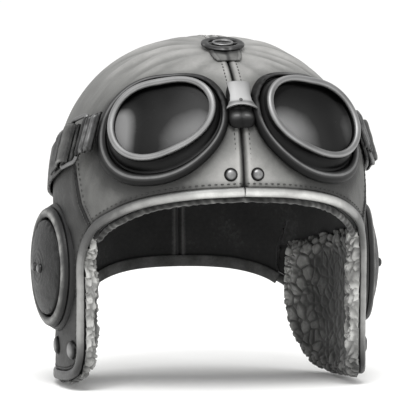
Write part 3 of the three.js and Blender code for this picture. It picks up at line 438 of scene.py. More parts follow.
# A grid's points are moved onto their surface. The place function takes two shares from 0 to 1 and gives
# the point in mm and its tone.
def gridInto(bm, columns, rows, placeAt):
    tone = toneLayer(bm)
    uv = bm.loops.layers.uv.get("flat") or bm.loops.layers.uv.new("flat")
    made = bmesh.ops.create_grid(bm, x_segments=columns, y_segments=rows, size=1)["verts"]
    shares = {vert: ((vert.co.x + 1) / 2, (vert.co.y + 1) / 2) for vert in made}
    for face in {face for vert in made for face in vert.link_faces}:
        for loop in face.loops:
            u, v = shares[loop.vert]
            loop[uv].uv = (u, v)
    for vert, (u, v) in shares.items():
        point, shade = placeAt(u, v)
        vert.co = point * mm
        vert[tone] = shade


def gridPiece(name, columns, rows, placeAt, material, slotName, node, **finish):
    bm = bmesh.new()
    gridInto(bm, columns, rows, placeAt)
    bm.normal_update()
    return finishMesh(name, bm, material, slotName, node, **finish)


def turnTo(point, out, ahead=Vector((0, 0, 1))):  # a matrix that stands +Z on out, in metres
    z = out.normalized()
    x = ahead.cross(z)
    x = x.normalized() if x.length > 1e-4 else Vector((1, 0, 0))
    y = z.cross(x)
    return Matrix.Translation(point * mm) @ Matrix((x, y, z)).transposed().to_4x4()


def spinPiece(name, profile, steps, matrix, shadeAt, material, slotName, node):
    bm = bmesh.new()
    tone = toneLayer(bm)
    line = [bm.verts.new(Vector((radius, 0, height)) * mm) for radius, height in profile]
    edges = [bm.edges.new(pair) for pair in zip(line, line[1:])]
    bmesh.ops.spin(bm, geom=line + edges, cent=(0, 0, 0), axis=(0, 0, 1), angle=2 * pi, steps=steps,
                   use_merge=True)
    for vert in bm.verts:
        radius, height = hypot(vert.co.x, vert.co.y) / mm, vert.co.z / mm
        shade, lift = shadeAt(radius, height, atan2(vert.co.y, vert.co.x))
        vert[tone] = shade
        vert.co.z += lift * mm
    bmesh.ops.transform(bm, matrix=matrix, verts=bm.verts)
    return finishMesh(name, bm, material, slotName, node, closed=True)


# Goggles: one lens frame, its outline as waves round a mean reach, and everything that is built off it
lens = {"spread": 47.8, "forward": 87.2, "drop": 43.8, "turn": 24.5, "tilt": 22.5, "reach": 28.4,
        "waves": [(2, 0.162, -22.9), (3, 0.0283, 43.3), (4, 0.0115, -35.1)], "recess": 4.6, "steps": 150,
        "glassWall": 1.6, "glassBow": 1.6}
cup = {"reach": 36, "bow": 1.3, "flangeWidth": 7, "flangeHeight": 6.4,
       "rows": [(0.98, 1, 0.7), (0.87, 0.7, 0.7), (0.78, 0.5, 0.7), (0.95, 0.6, 0.8), (0.99, 0.62, 0.95),
                (0.92, 0.8, 1), (0.94, 0.95, 1), (1.03, 1.05, 0.9)]}
lensOut = Vector((sin(radians(lens["turn"])) * cos(radians(lens["tilt"])),
                  -cos(radians(lens["turn"])) * cos(radians(lens["tilt"])), sin(radians(lens["tilt"]))))
lensAcross = Vector((cos(radians(lens["turn"])), sin(radians(lens["turn"])), 0))
lensUp = lensAcross.cross(lensOut)
lensUp = lensUp if lensUp.z > 0 else -lensUp
lensCentre = Vector((lens["spread"], -lens["forward"], shell["crownWall"] - lens["drop"]))


def lensPoint(radius, angle, out):
    return lensCentre + lensAcross * radius * cos(angle) + lensUp * radius * sin(angle) + lensOut * out


def lensOutline(angle):
    waves = sum(share * cos(order * (angle - radians(turn))) for order, share, turn in lens["waves"])
    return lens["reach"] * (1 + waves)


def cupRow(angle, column):
    rows = cup["rows"]
    place = (angle / (2 * pi)) % 1 * len(rows)
    first = int(place)
    s = place - first
    a, b, c, d = (rows[(first + k) % len(rows)][column] for k in (-1, 0, 1, 2))
    slopeIn, slopeOut = (c - a) / 2, (d - b) / 2
    return ((2 * s ** 3 - 3 * s ** 2 + 1) * b + (s ** 3 - 2 * s ** 2 + s) * slopeIn
            + (3 * s ** 2 - 2 * s ** 3) * c + (s ** 3 - s ** 2) * slopeOut)


def outsideCrown(point, lift):
    reach = (shell["browReach"] if point.y < 0 else shell["napeReach"]) + lift
    plan = (abs(point.y) / reach) ** 2.2 + (abs(point.x) / (shell["halfWidth"] + lift)) ** 2.2
    height = max(point.z - shell["crownWall"] + shell["crownHeight"], 0) / (shell["crownHeight"] + lift)
    return plan + height ** 2.2 - 1


@lru_cache(maxsize=None)
def seatedOnCrown(radius, angle, lift):
    near, far = 10.0, -60.0
    for _ in range(24):
        middle = (near + far) / 2
        near, far = ((middle, far) if outsideCrown(lensPoint(radius, angle, middle), lift) > 0
                     else (near, middle))
    return near


# How near a place on the leather is to a goggle's padding, from 0 to 1 where it touches
def nearFlange(point, reach):
    away = Vector((abs(point.x), point.y, point.z)) - lensCentre
    across, up, out = away.dot(lensAcross), away.dot(lensUp), away.dot(lensOut)
    angle = atan2(up, across)
    gap = hypot(across, up) - cup["reach"] * cupRow(angle, 0) - cup["flangeWidth"] * cupRow(angle, 1)
    return exp(-((max(gap, 0) / reach) ** 2)) if point.y < 0 and abs(out) < 40 else 0


# Crown: two leather halves with soft creases running out from the buckle, and lips along the seam
crown = {"columns": 150, "rows": 116, "creaseMm": 0.85, "waveMm": 0.9, "lipMm": 0.4, "grooveMm": 1.5,
         "folds": [(-0.12, -0.34, -0.78, -0.16, 1.6), (-0.1, -0.2, -0.7, 0.2, 0.95),
                   (0.14, -0.36, 0.74, -0.3, 1.4), (0.12, -0.22, 0.7, 0.1, 0.8)], "foldWidth": 11,
         "wall": 2.0}

# Creases in plan, in mm: from, to, depth and half width
creases = [((-13, -46), (-66, -44), 1.0, 2.2), ((-12, -38), (-70, -24), 0.8, 2.6),
           ((-11, -33), (-60, -2), 0.7, 2.4), ((-9, -30), (-40, 14), 0.5, 2.2),
           ((12, -47), (52, -52), 1.0, 2.2), ((13, -40), (70, -44), 0.9, 2.4),
           ((12, -34), (68, -14), 0.7, 2.6), ((9, -29), (46, 12), 0.5, 2.2),
           ((-6, -56), (-34, -74), 0.6, 2.6), ((6, -57), (30, -76), 0.6, 2.6),
           ((-4, -28), (-14, 22), 0.45, 2.4), ((5, -28), (18, 26), 0.45, 2.4),
           ((-20, -50), (-74, -56), 0.6, 3.0), ((24, -58), (64, -62), 0.6, 2.6)]


def nearLine(x, y, start, end):  # share along a line in plan and the gap to it
    line = (end[0] - start[0], end[1] - start[1])
    share = ((x - start[0]) * line[0] + (y - start[1]) * line[1]) / (line[0] ** 2 + line[1] ** 2)
    reach = clamp(share)
    return reach, hypot(x - start[0] - line[0] * reach, y - start[1] - line[1] * reach)


def foldLift(x, y):
    height = 0
    for fromX, fromY, toX, toY, rise in crown["folds"]:
        start = (fromX * shell["halfWidth"], fromY * shell["browReach"])
        end = (toX * shell["halfWidth"], toY * shell["browReach"])
        reach, gap = nearLine(x, y, start, end)
        height += rise * sin(reach * pi) * exp(-((2 * gap / crown["foldWidth"]) ** 2))
    return height


def creaseLift(point):  # narrow valleys with a raised shoulder on each side
    wander = ripple(point, 16, 3) * 2.6
    lift = 0
    for start, end, depth, width in creases:
        reach, gap = nearLine(point.x, point.y + wander, start, end)
        fade = sin(clamp(reach * 0.94 + 0.06) * pi) ** 0.7
        lift += depth * fade * (0.55 * bump(gap, 2.3 * width, 1.5 * width) - bump(gap, 0, width))
    return lift * crown["creaseMm"]


stitch = {"length": 2.1, "width": 0.85, "thick": 0.5, "step": 3.3, "fromSeam": 4.4, "fromEdge": 7.8,
          "seamRun": 300}


def seamLift(x):
    return (crown["lipMm"] * bump(abs(x), 2.9, 1.6) - crown["grooveMm"] * bump(x, 0, 1.0)
            - 0.3 * bump(abs(x), stitch["fromSeam"], 0.9))


def leatherWave(point):
    return crown["waveMm"] * (0.5 * ripple(point, 42, 5) + 0.22 * ripple(point, 15, 9)
                              + 0.07 * ripple(point, 5, 2))


def crownTone(point, lift):
    # Painted light and shade: crests lighter, creases darker, sides, back and low parts darker, front under
    # the goggles lighter
    tone = 0.76 + 0.05 * ripple(point, 30, 11) + 0.13 * clamp(lift, -1.2, 0.8)
    tone -= 0.24 * smooth(34, 92, abs(point.x)) + 0.16 * smooth(20, 90, point.y)
    tone += (0.14 * smooth(-40, -75, point.z) * (1 - smooth(10, 46, abs(point.x)))
             - 0.04 * smooth(-50, -95, point.z))
    # Painted shadow round the goggles' padding
    tone -= 0.24 * nearFlange(point, 9) * smooth(-8, -60, point.z) + 0.16 * nearFlange(point, 4)
    tone -= 0.45 * bump(point.x, 0, 1.1) - 0.07 * bump(abs(point.x), 2.8, 1.2)
    streak = ripple(Vector((point.x * 0.18, point.y * 1.6, point.z * 0.6)), 6, 21)
    return tone + 0.06 * streak * smooth(10, 45, abs(point.x))


bindingInset = 5.6
strap = {"sideDrop": 74, "tilt": 30, "startTurn": 70, "width": 25, "wall": 2.2, "lift": 1.3, "wire": 2.6,
         "loopFront": 62.8, "loopBack": 73, "loopHeight": 32, "bracketFront": 53.6, "hook": 1.2,
         "loopCorner": 3.0, "run": 395, "bandWall": 1.9, "foldWall": 1.2, "bracketWall": 1.4}
sideSeam = {"row": 4, "topTurn": 71, "underStrap": 4}


def strapDrop(turn):
    return strap["sideDrop"] - strap["tilt"] * cos(turn)


def sideSeamAt(share):
    turn, level = edgeAt(sideSeam["row"], bindingInset)
    top = radians(sideSeam["topTurn"])
    return lerp(top, turn, share), lerp(levelAt(strapDrop(top) + sideSeam["underStrap"]), level, share)


def strapSeamAt(share):
    turn = lerp(radians(sideSeam["topTurn"]), pi, share)
    return turn, levelAt(strapDrop(turn) + sideSeam["underStrap"])


def alongStretches(stretches, share):
    rest = share * sum(weight for weight, at in stretches)
    for weight, at in stretches:
        if rest <= weight or at is stretches[-1][1]:
            return at(min(rest / weight, 1))
        rest -= weight
    return None


@lru_cache(maxsize=None)
def crownFoot(share):
    return alongStretches([(5, lambda s: edgeAt(lerp(0, sideSeam["row"], s), bindingInset)),
                           (3, lambda s: sideSeamAt(1 - s)), (10, strapSeamAt)], share)


def crownPlace(side):
    def placeAt(u, v):
        turn, level = crownFoot(round(u, 6))
        turn, level = lerp(u * pi, turn, v * v), level * v
        plain = sided(onShell(turn, level, 0), side)
        lift = (foldLift(plain.x, plain.y) * 0.8 + creaseLift(plain)
                + leatherWave(plain) * smooth(0, 0.2, 1 - v))
        lip = seamLift(plain.x)
        rim = -0.5 * smooth(0.975, 1, v)
        point = sided(onShell(turn, level, lift * smooth(0, 6, abs(plain.x)) + lip + rim), side)
        point.x += side * shell["seamGap"] / 2
        return point, crownTone(plain, lift) - 0.2 * smooth(0.965, 1, v)
    return placeAt


sides = (("Left", 1), ("Right", -1))
domeMiddle = Vector((0, 0, -70))
for label, side in sides:
    gridPiece(f"crownLeather{label}", crown["columns"], crown["rows"], crownPlace(side), crownLeather,
              "crown_leather", f"crown_{label.lower()}", solid=crown["wall"],
              outward=domeMiddle)
print("crown leather sewn")

# Side and nape panels: flat leather, a lip along the side seam, slack waves between the pad and the edge
flap = {"columns": 190, "rows": 90, "run": 190, "wall": 2.0}
pad = {"drop": 140.08, "seat": 95.94, "back": 1.2, "turn": 6.4, "baseRadius": 37.52, "baseHeight": 0.9,
       "standoff": 10.7, "capReach": 28.4, "capEdge": 5.9, "steps": 120, "rivetSpread": 5.6,
       "rivetRadius": 2.9, "rivetHeight": 2.3}


def flapPlace(side):
    def placeAt(u, v):
        highTurn, highLevel = strapSeamAt(u)
        highTurn += 0.5 / shell["halfWidth"] * (1 - u)
        highLevel += 0.5 / shell["crownHeight"]
        lowTurn, lowLevel = edgeAt(round(lerp(sideSeam["row"], lastRow, u), 6), bindingInset + 0.2)
        turn = lerp(highTurn, lowTurn, v) + 0.5 / shell["halfWidth"] * (1 - u) ** 8 * v
        level = lerp(highLevel, lowLevel, v)
        plain = sided(onShell(turn, level, 0), side)
        fromSeam = u * flap["run"]
        back = (pi - turn) * shell["napeReach"]
        lift = 0.35 * bump(fromSeam, 3.2, 1.9) + 0.8 * leatherWave(plain)
        lift += 0.6 * bump(back, 3, 2) - 1.1 * bump(back, 0, 1.1)
        lift -= 0.5 * smooth(0.98, 1, v)
        slack = 0.45 * ripple(Vector((plain.x, plain.y * 0.5, plain.z * 1.6)), 12, 31) * smooth(0.1, 0.3, v)
        point = sided(onShell(turn, level, lift + slack), side)
        point.x += side * shell["seamGap"] / 2
        fromPad = hypot(plain.y - pad["back"], plain.z + pad["drop"] - shell["crownWall"]) - pad["baseRadius"]
        # Painted light and shade: a painted shadow round the ear pad's foot, slack waves lighter on crests,
        # darker in hollows
        tone = (0.22 + 0.08 * ripple(plain, 26, 17) + 0.14 * slack - 0.2 * bump(fromSeam, 0, 2)
                - 0.24 * bump(fromPad, 0, 5))
        tone += 0.06 * smooth(0.8, 0.95, v) - 0.16 * smooth(0.975, 1, v) - 0.04 * smooth(-100, -190, plain.z)
        return point, tone
    return placeAt


for label, side in sides:
    gridPiece(f"flapLeather{label}", flap["columns"], flap["rows"], flapPlace(side), crownLeather,
              "crown_leather", f"flap_{label.lower()}", solid=flap["wall"],
              outward=domeMiddle)

# Bound edge: a strip of soft leather rolled round the edge, puckered by its stitches
binding = {"height": 5.8, "thick": 4.0, "steps": 520, "sides": 18, "puckerMm": 0.05, "stitchMm": 3.4}


def bindingPlace(side):
    def placeAt(u, k):
        row = rowAtLength(u * edgeLengths[-1])
        angle = k * 2 * pi
        out = binding["thick"] / 2 * squared(cos(angle), 0.8)
        across = binding["height"] / 2 * squared(sin(angle), 0.85)
        length = u * edgeLengths[-1]
        pucker = (binding["puckerMm"] * sin(length * 2 * pi / binding["stitchMm"])
                  * smooth(0.1, 1, -sin(angle)))
        turn, level = edgeAt(round(row, 5), round(binding["height"] / 2 - 0.1 - across, 5))
        point, along, down, normal = shellFrame(turn, level)
        plain = sided(point, side)
        slack = (0.16 * ripple(Vector((length, across * 2, side * 9)), 9, 5)
                 + 0.08 * ripple(Vector((length, across * 3, 0)), 3.2, 7))
        lift = -0.25 + out + (pucker + slack) * smooth(-0.2, 0.6, cos(angle))
        place = sided(point + normal * lift, side)
        place.x += side * shell["seamGap"] / 2 * (1 if row < 0.3 or row > lastRow - 0.3 else 0)
        # Painted light and shade: highlight on the crest, lighter at the front and lower side runs, shade at
        # one brow curve
        crest = smooth(0.1, 0.95, cos(angle)) * smooth(-0.95, 0.1, sin(angle))
        front = 1 - smooth(-93, -50, plain.y)
        lower = (smooth(-110, -135, plain.z) * (1 - smooth(-170, -196, plain.z))
                 * (1 - smooth(-60, 0, plain.y)))
        paintedLightAndShade = (0.34 * lower * smooth(-0.3, 0.5, sin(angle) + cos(angle))
                  - 0.2 * smooth(-24, -56, plain.x) * smooth(-128, -108, plain.z))
        tone = 0.24 + crest * (0.1 + 0.24 * front) + 0.24 * front + paintedLightAndShade + 0.1 * ripple(plain, 14, 3)
        tone -= 0.3 * smooth(-172, -200, plain.z)
        tone += 0.05 * ripple(Vector((length, across * 2, side * 5)), 4, 2) - 0.25 * bump(k, 0.75, 0.08)
        return place, tone
    return placeAt


for label, side in sides:
    bm = bmesh.new()
    gridInto(bm, binding["steps"], binding["sides"], bindingPlace(side))
    bmesh.ops.remove_doubles(bm, verts=bm.verts, dist=2e-6)
    bmesh.ops.holes_fill(bm, edges=[e for e in bm.edges if e.is_boundary], sides=0)
    finishMesh(f"edgeBinding{label}", bm, bindingLeather, "edge_piping", f"edge_binding_{label.lower()}",
               closed=True)
print("edge bound")

# Rows of stitches in the leather


def stitchRun(name, marks, shade):  # short rounded dashes that lie on the leather
    bm = bmesh.new()
    tone = toneLayer(bm)
    stretched = Matrix.Diagonal([stitch[size] / 2 * mm for size in ("length", "width", "thick")] + [1])
    for point, run, out in marks:
        y = out.cross(run).normalized()
        turned = Matrix((run.normalized(), y, out)).transposed().to_4x4()
        place = Matrix.Translation(point * mm) @ turned @ stretched
        for vert in bmesh.ops.create_uvsphere(bm, u_segments=6, v_segments=4, radius=1,
                                              matrix=place)["verts"]:
            vert[tone] = shade
    return finishMesh(name, bm, linenThread, "crown_leather", None)


def marksAlong(placeAt, count, side=1, shiftX=0.15):  # placeAt gives turn, level and lift at a share
    marks = []
    for i in range(count):
        share = (i + 0.5) / count
        turn, level, lift = placeAt(share)
        ahead, aheadLevel = placeAt(min(share + 0.001, 1))[:2]
        point, along, down, out = shellFrame(turn, level)
        run = shellPoint(ahead, aheadLevel) - shellPoint(turn, level)
        if run.length < 1e-6:
            continue
        place = sided(point + out * lift, side)
        place.x += side * shiftX
        marks.append((place, sided(run, side), sided(out, side)))
    return marks


def bindingStitches(side):
    length = edgeLengths[-1]

    def placeAt(share):
        turn, level = edgeAt(round(rowAtLength(share * length), 5), stitch["fromEdge"])
        plain = sided(shellPoint(turn, level), side)
        return turn, level, leatherWave(plain) * 0.8 + 0.15
    return marksAlong(placeAt, int(length / stitch["step"]), side)


def seamStitches(side, offset):  # beside the crown's seam, from the brow over the top to the nape
    marks = []
    steps = int(stitch["seamRun"] / stitch["step"])
    for i in range(steps):
        share = (i + 0.5) / steps
        level = abs(2 * share - 1) * levelAt(80)
        front = share < 0.5
        base = shellPoint(0 if front else pi, level)
        radius = max(hypot(base.x, base.y), 1)
        turn = asin(clamp(offset / radius, -1, 1))
        turn = turn if front else pi - turn
        point, along, down, out = shellFrame(turn, level)
        plain = sided(point, side)
        lift = (seamLift(offset) + creaseLift(plain) * smooth(0, 6, offset) + leatherWave(plain)
                + foldLift(plain.x, plain.y) * 0.8)
        marks.append((sided(point + out * (lift + 0.12), side), sided(down, side), sided(out, side)))
    return marks


for label, side in sides:
    stitchRun(f"bindingStitches{label}", bindingStitches(side), 0.28)
    stitchRun(f"crownSeamStitches{label}", seamStitches(side, stitch["fromSeam"]), 0.28)
    double = []
    for offset in (-0.045, 0.03):
        double += marksAlong(lambda share, o=offset: (sideSeamAt(share)[0] + o, sideSeamAt(share)[1], 0.35),
                             17, side)
    stitchRun(f"sideSeamStitches{label}", double, 0.42)
print("stitches laid")


# Lining: brushed suede stretched inside the crown, with a raised double seam down the back
# Each half is cut as long as the run over the crown from brow to nape, and as wide as the fall to the fleece
lining = {"columns": 130, "rows": 80, "wall": 1.0, "inset": 1, "fleeceFrontDrop": 117,
          "fleeceBackDrop": 134, "runMm": 353, "fallMm": 177}
backRow = flapLastRow + 0.8


def fleeceTop(share):
    return lerp(levelAt(lining["fleeceFrontDrop"]), levelAt(lining["fleeceBackDrop"]), share * share)


@lru_cache(maxsize=None)
def liningFoot(share):
    rise = 2 * lining["inset"] / shell["crownHeight"]
    corner, front = edgeAt(backRow, 1), edgeAt(sideSeam["row"], 1)
    return alongStretches([
        (6, lambda s: edgeAt(lerp(0, sideSeam["row"], s), 1)),
        (1, lambda s: (front[0], lerp(front[1], fleeceTop(0) + rise, s))),
        (6, lambda s: (lerp(front[0], corner[0], s), fleeceTop(s) + rise)),
        (2, lambda s: (corner[0], lerp(fleeceTop(1) + rise, corner[1], s))),
        (4, lambda s: edgeAt(lerp(backRow, lastRow, s), 1))], share)


def liningPlace(side):
    def placeAt(u, v):
        turn, level = liningFoot(round(u, 6))
        turn, level = lerp(u * pi, turn, v * v), level * v
        plain = sided(onShell(turn, level, 0), side)
        seam = 0.9 * bump(abs(plain.x), 2.6, 1.4) - 0.5 * bump(plain.x, 0, 0.9) if plain.y > 0 else 0
        slack = 0.7 * ripple(plain, 24, 13) + 0.2 * ripple(plain, 8, 4)
        lift = (-shell["leatherWall"] - shell["layerGap"] - 1.4 - 1.25 * seam * smooth(0, 0.3, v)
                + slack * smooth(0, 6, abs(plain.x)) * 0.7)
        tone = 0.46 + 0.14 * ripple(plain, 20, 8)
        if plain.y > 0:
            tone += 0.4 * bump(abs(plain.x), 2.6, 1.2) - 0.4 * bump(plain.x, 0, 1)
        return sided(onShell(turn, level, lift), side), tone
    return placeAt


for label, side in sides:
    piece = gridPiece(f"liningSuede{label}", lining["columns"], lining["rows"], liningPlace(side),
                      liningSuede, "lining_suede", f"lining_{label.lower()}", solid=-lining["wall"],
                      outward=domeMiddle)

# Nape hem: a doubled band of the lining with a row of stitches
hem = {"height": 7.2, "wall": 1.2}


def hemPlace(u, v):
    side = 1 if u < 0.5 else -1
    row = lerp(lastRow, flapLastRow + 0.75, abs(2 * u - 1))
    angle = v * 2 * pi
    turn, level = edgeAt(round(row, 6), round(hem["height"] / 2 - hem["height"] / 2 * cos(angle), 5))
    plain = sided(onShell(turn, level, 0), side)
    lift = (-shell["leatherWall"] - 2 * shell["layerGap"] - 2.0 - hem["wall"] / 2
            + (0.9 + 0.25 * ripple(plain, 7, 3)) * sin(angle))
    return (sided(onShell(turn, level, lift), side),
            0.74 + 0.2 * ripple(plain, 9, 5) - 0.3 * bump(v, 0.5, 0.05))


gridPiece("napeHem", 150, 14, hemPlace, liningSuede, "lining_suede", "nape_hem", closed=True)

# Shearling in the ear flaps: curled locks over a backing, matted where the ear rubs
wool = {"columns": 230, "rows": 250, "pile": 5.2, "roll": 5.0, "overhang": 1.8, "lockMm": 7.5,
        "rimLockMm": 5.4, "lockHigh": 2.4, "across": 74, "up": 92, "backing": 0.8}


def locks(point, size):  # round tufts parted by winding creases: 0 in a crease, 1 on a tuft's back
    warp = Vector((ripple(point, 10, 3), ripple(point, 10, 14), ripple(point, 10, 27))) * 3.4
    near, second = noise.voronoi((point + warp * 0.8) / size)[0][:2]
    fine = min(abs(ripple(point + warp * 0.6, size * 0.6, 8)) * 4.2, 1) ** 0.7
    return (0.7 + 0.3 * fine) * smooth(0, 0.3, second - near) * (1 - 0.3 * near)


@lru_cache(maxsize=None)
def fleeceFoot(share):
    first, last = sideSeam["row"] + 0.4, flapLastRow + 0.2
    return (edgeAt(lerp(first, last, share), -wool["overhang"] * sin(share * pi)),
            lerp(edgeAt(first, 0)[0], edgeAt(last, 0)[0], share))


def fleecePlace(side):
    def placeAt(u, v):
        (footTurn, footLevel), headTurn = fleeceFoot(round(u, 6))
        turn = lerp(headTurn, footTurn, min(v * 1.3, 1))
        level = lerp(fleeceTop(u), footLevel, v)
        fromTop = v * wool["up"]
        fromSide = min(u, 1 - u) * wool["across"]
        fromEdge = min(fromSide, wool["up"] - fromTop)
        roll = sqrt(max(1 - (1 - min(fromEdge / wool["roll"], 1)) ** 2, 0))
        matted = (smooth(0.16, 0.32, u) * (1 - smooth(0.66, 0.86, u)) * smooth(0.06, 0.2, v)
                  * (1 - smooth(0.78, 0.95, v)))
        under = -shell["leatherWall"] + 0.3 - (shell["layerGap"] + 0.3) * smooth(0, 9, fromEdge)
        pile = (wool["pile"] - 1.2 * matted) * roll * (0.2 + 0.8 * smooth(-2, 11, fromTop))
        plain = sided(onShell(turn, level, under - 1.5 * pile), side)
        matted = clamp(matted * (0.85 + 0.4 * ripple(plain, 18, 6)))
        rim = 1 - smooth(5, 12, fromEdge)
        lock = lerp(locks(plain, wool["lockMm"]), locks(plain, wool["rimLockMm"]), rim)
        tuft = 0.5 + 0.5 * ripple(plain, 12, 40)
        curl = (lock * wool["lockHigh"] + tuft * 1.1) * (0.3 + 0.7 * roll) * (1 - 0.8 * matted)
        streak = ripple(Vector((plain.x, plain.y * 2.2, plain.z * 0.35)), 5, 9)
        # Painted light and shade: lock backs lighter, creases darker, shade under the top edge, the matted
        # middle partly shade
        tone = (0.24 + 0.36 * lock * (1 - 0.9 * matted) + 0.12 * tuft - 0.1 * matted + 0.08 * streak
                - 0.1 * (1 - smooth(0, 14, fromTop)))
        tone += (0.08 * smooth(0.5, 0.95, u) * (1 - matted)
                 + 0.18 * rim * smooth(4, 20, fromTop) * smooth(-198, -176, plain.z))
        tone -= 0.16 * smooth(-186, -204, plain.z)
        outward = (2.6 * (lock - 0.62) + 0.8 * (tuft - 0.5)) * (1 - smooth(0, 7, fromEdge))
        turn += (1 if u > 0.5 else -1) * outward / shell["halfWidth"] * (1 if fromSide < 7 else 0)
        level += (outward * (1 if v > 0.9 else 0) - 2.4 * (lock - 0.5)
                  * (1 - smooth(0, 12, fromTop))) / shell["crownHeight"]
        return sided(onShell(turn, level, under - pile - curl), side), tone
    return placeAt


for label, side in sides:
    piece = gridPiece(f"shearling{label}", wool["columns"], wool["rows"], fleecePlace(side), shearling,
                      "shearling", f"flap_fleece_{label.lower()}", outward=Vector((0, 0, -150)))
    piece.data.flip_normals()
    backing = piece.modifiers.new("backing", "SOLIDIFY")
    backing.thickness, backing.offset = wool["backing"] * mm, -1

# Roll of shearling along the brow's inner edge: small lumps like a twisted rope
rope = {"radius": 1.75, "lumpMm": 5.2, "steps": 420, "sides": 12, "lastShare": 4.35}


def ropePlace(u, k):
    side = -1 if u < 0.5 else 1
    length = abs(2 * u - 1) * edgeLengths[int(rope["lastShare"] * 40)]
    row = rowAtLength(length)
    angle = k * 2 * pi
    twist = sin(length * 2 * pi / rope["lumpMm"] + angle * side
                + 2.2 * ripple(Vector((length, 0, side)), 9, 4))
    point = Vector((length * side, 3 * cos(angle), 3 * sin(angle)))
    radius = (rope["radius"] * (1 + 0.1 * twist + 0.26 * ripple(point, 4, 5))
              * (0.3 + 0.7 * smooth(0, 0.02, min(u, 1 - u))))
    turn, level = edgeAt(round(row, 5), round(radius * sin(angle) - rope["radius"], 5))
    lift = radius * cos(angle) - shell["leatherWall"] - shell["layerGap"] - rope["radius"]
    # Painted shade: the twist's lumps lighter and the grooves between them darker
    tone = 0.2 + 0.1 * twist + 0.24 * ripple(point, 7, 2)
    return sided(onShell(turn, level, lift), side), tone


gridPiece("browWoolRoll", rope["steps"], rope["sides"], ropePlace, shearling, "shearling", "brow_roll",
          closed=True)
print("lining and shearling in")

# Ear pads: a leather base moulded to the flap, a worn ring and a low domed cap, turned round the pad's axis
padRing = [(30.1, 1.2), (30.1, 3.2), (30.35, 4.2), (30.9, 4.9), (31.8, 5.3), (32.9, 5.3), (34.0, 5.0),
           (35.0, 4.4), (35.8, 3.6), (36.3, 2.7), (36.6, 1.9), (36.7, 1.2), (30.1, 1.2)]


def wallBeside(y, z):
    below = max(shell["crownWall"] - z - shell["crownHeight"], 0)
    lean = 1 - shell["wallLean"] / shell["halfWidth"] * (below / (shell["flapDrop"] - shell["crownHeight"]))
    reach = shell["browReach"] if y < 0 else shell["napeReach"]
    return shell["halfWidth"] * lean * (1 - (abs(y) / (reach * lean)) ** 2.2) ** (1 / 2.2)


def padPoint(radius, angle, height):
    turn = radians(pad["turn"])
    centre = Vector((pad["seat"], pad["back"], shell["crownWall"] - pad["drop"]))
    beside = centre + Vector((sin(turn), cos(turn), 0)) * radius * cos(angle)
    return beside + Vector((0, 0, radius * sin(angle))) + Vector((cos(turn), -sin(turn), 0)) * height


def padBasePlace(side):
    def placeAt(u, v):
        angle = u * 2 * pi
        wrinkle = ripple(Vector((10 * cos(angle), 10 * sin(angle), side * 20 + v * 8)), 2.4, 3)
        if v < 0.5:  # the skirt, from the leather up to the flat
            share = v / 0.5
            foot = padPoint(pad["baseRadius"] + 1.5, angle, 0)
            foot.x = wallBeside(foot.y, foot.z) + 0.3
            rim = padPoint(pad["baseRadius"] - 0.2, angle, pad["baseHeight"] - 0.2)
            point = foot.lerp(rim, share) + Vector((0.35 * sin(share * pi) + 0.12 * wrinkle, 0, 0))
        else:
            share = (v - 0.5) / 0.5
            height = pad["baseHeight"] + 0.25 * smooth(0, 0.15, share) - 0.35 * smooth(0.2, 0.5, share)
            point = padPoint(lerp(pad["baseRadius"] - 0.2, 29, share), angle, height - 0.2)
        # Painted shadow along the skirt's foot on the flap and a painted highlight on the flat's rim
        tone = 0.2 + 0.12 * wrinkle - 0.3 * bump(v, 0.0, 0.2) + 0.06 * bump(v, 0.5, 0.06)
        return sided(point, side), tone
    return placeAt


def ringShade(side):
    def shadeAt(radius, height, angle):
        spot = Vector((radius * cos(angle), radius * sin(angle), side * 60))
        worn = ripple(spot, 6, 3) * 0.5 + ripple(spot, 1.9, 6) * 0.3
        # Painted highlight along the ring's crest and painted shade at its foot; the mottling is wear
        band = bump(radius, 33.4, 2.6) * smooth(2.8, 4.4, height)
        tone = 0.2 + 0.66 * band + 0.3 * worn * (0.3 + band) - 0.2 * (1 - smooth(1.2, 2.2, height))
        return tone, 0.22 * worn * smooth(2.6, 4, height)
    return shadeAt


def capShade(side):
    def shadeAt(radius, height, angle):
        spot = Vector((radius * cos(angle), radius * sin(angle), side * 90))
        rings = cos(radius * 2 * pi / 3.4) * (1 - smooth(9, 15, radius))
        worn = ripple(spot, 9, 3) * 0.5 + ripple(spot, 2.6, 6) * 0.3
        rim = bump(radius, 28.0, 1.2)
        notch = rim * smooth(0.15, 0.5, ripple(Vector((cos(angle), sin(angle), side)) * 28, 3.2, 12))
        # Painted shade: the dome lighter in the middle and darker to its rim, dark low sides in the groove
        # and dark notches
        dome = smooth(29, 8, radius) - 0.5
        tone = (0.23 + 0.1 * rings + 0.24 * worn + 0.2 * dome + 0.08 * rim - 0.36 * notch
                - 0.4 * (1 - smooth(2.4, 4.9, height)))
        return (tone, (0.14 * rings + 0.24 * worn - 0.8 * notch) * smooth(0, 3, radius)
                * smooth(3, 4.4, height))
    return shadeAt


def capHeight(radius):
    return pad["capEdge"] + (pad["standoff"] - pad["capEdge"]) * (1 - (radius / pad["capReach"]) ** 2.1)


def capProfile():
    domed = [pad["capReach"] * (1 - i / 48) for i in range(49)]
    return [(28.7, 1.3), (28.85, 3.6), (28.75, 5.1)] + [(radius, capHeight(radius)) for radius in domed]


def padFrame(side):
    centre = sided(padPoint(0, 0, 0), side)
    out = sided(Vector((cos(radians(pad["turn"])), -sin(radians(pad["turn"])), 0)), side)
    return centre, out


rivetRows = [(1.0, 0.0), (1.0, 0.12), (0.96, 0.34), (0.86, 0.58), (0.7, 0.78), (0.5, 0.92), (0.26, 0.985),
             (0.0, 1.0)]


def studProfile(radius, height):
    return [(0, 0)] + [(radius * r, height * h) for r, h in rivetRows]


# Painted highlight: lighter over the top of the dome
def metalShade(radius, height, angle):
    return 0.3 + 0.4 * smooth(0.8, 2.2, height), 0


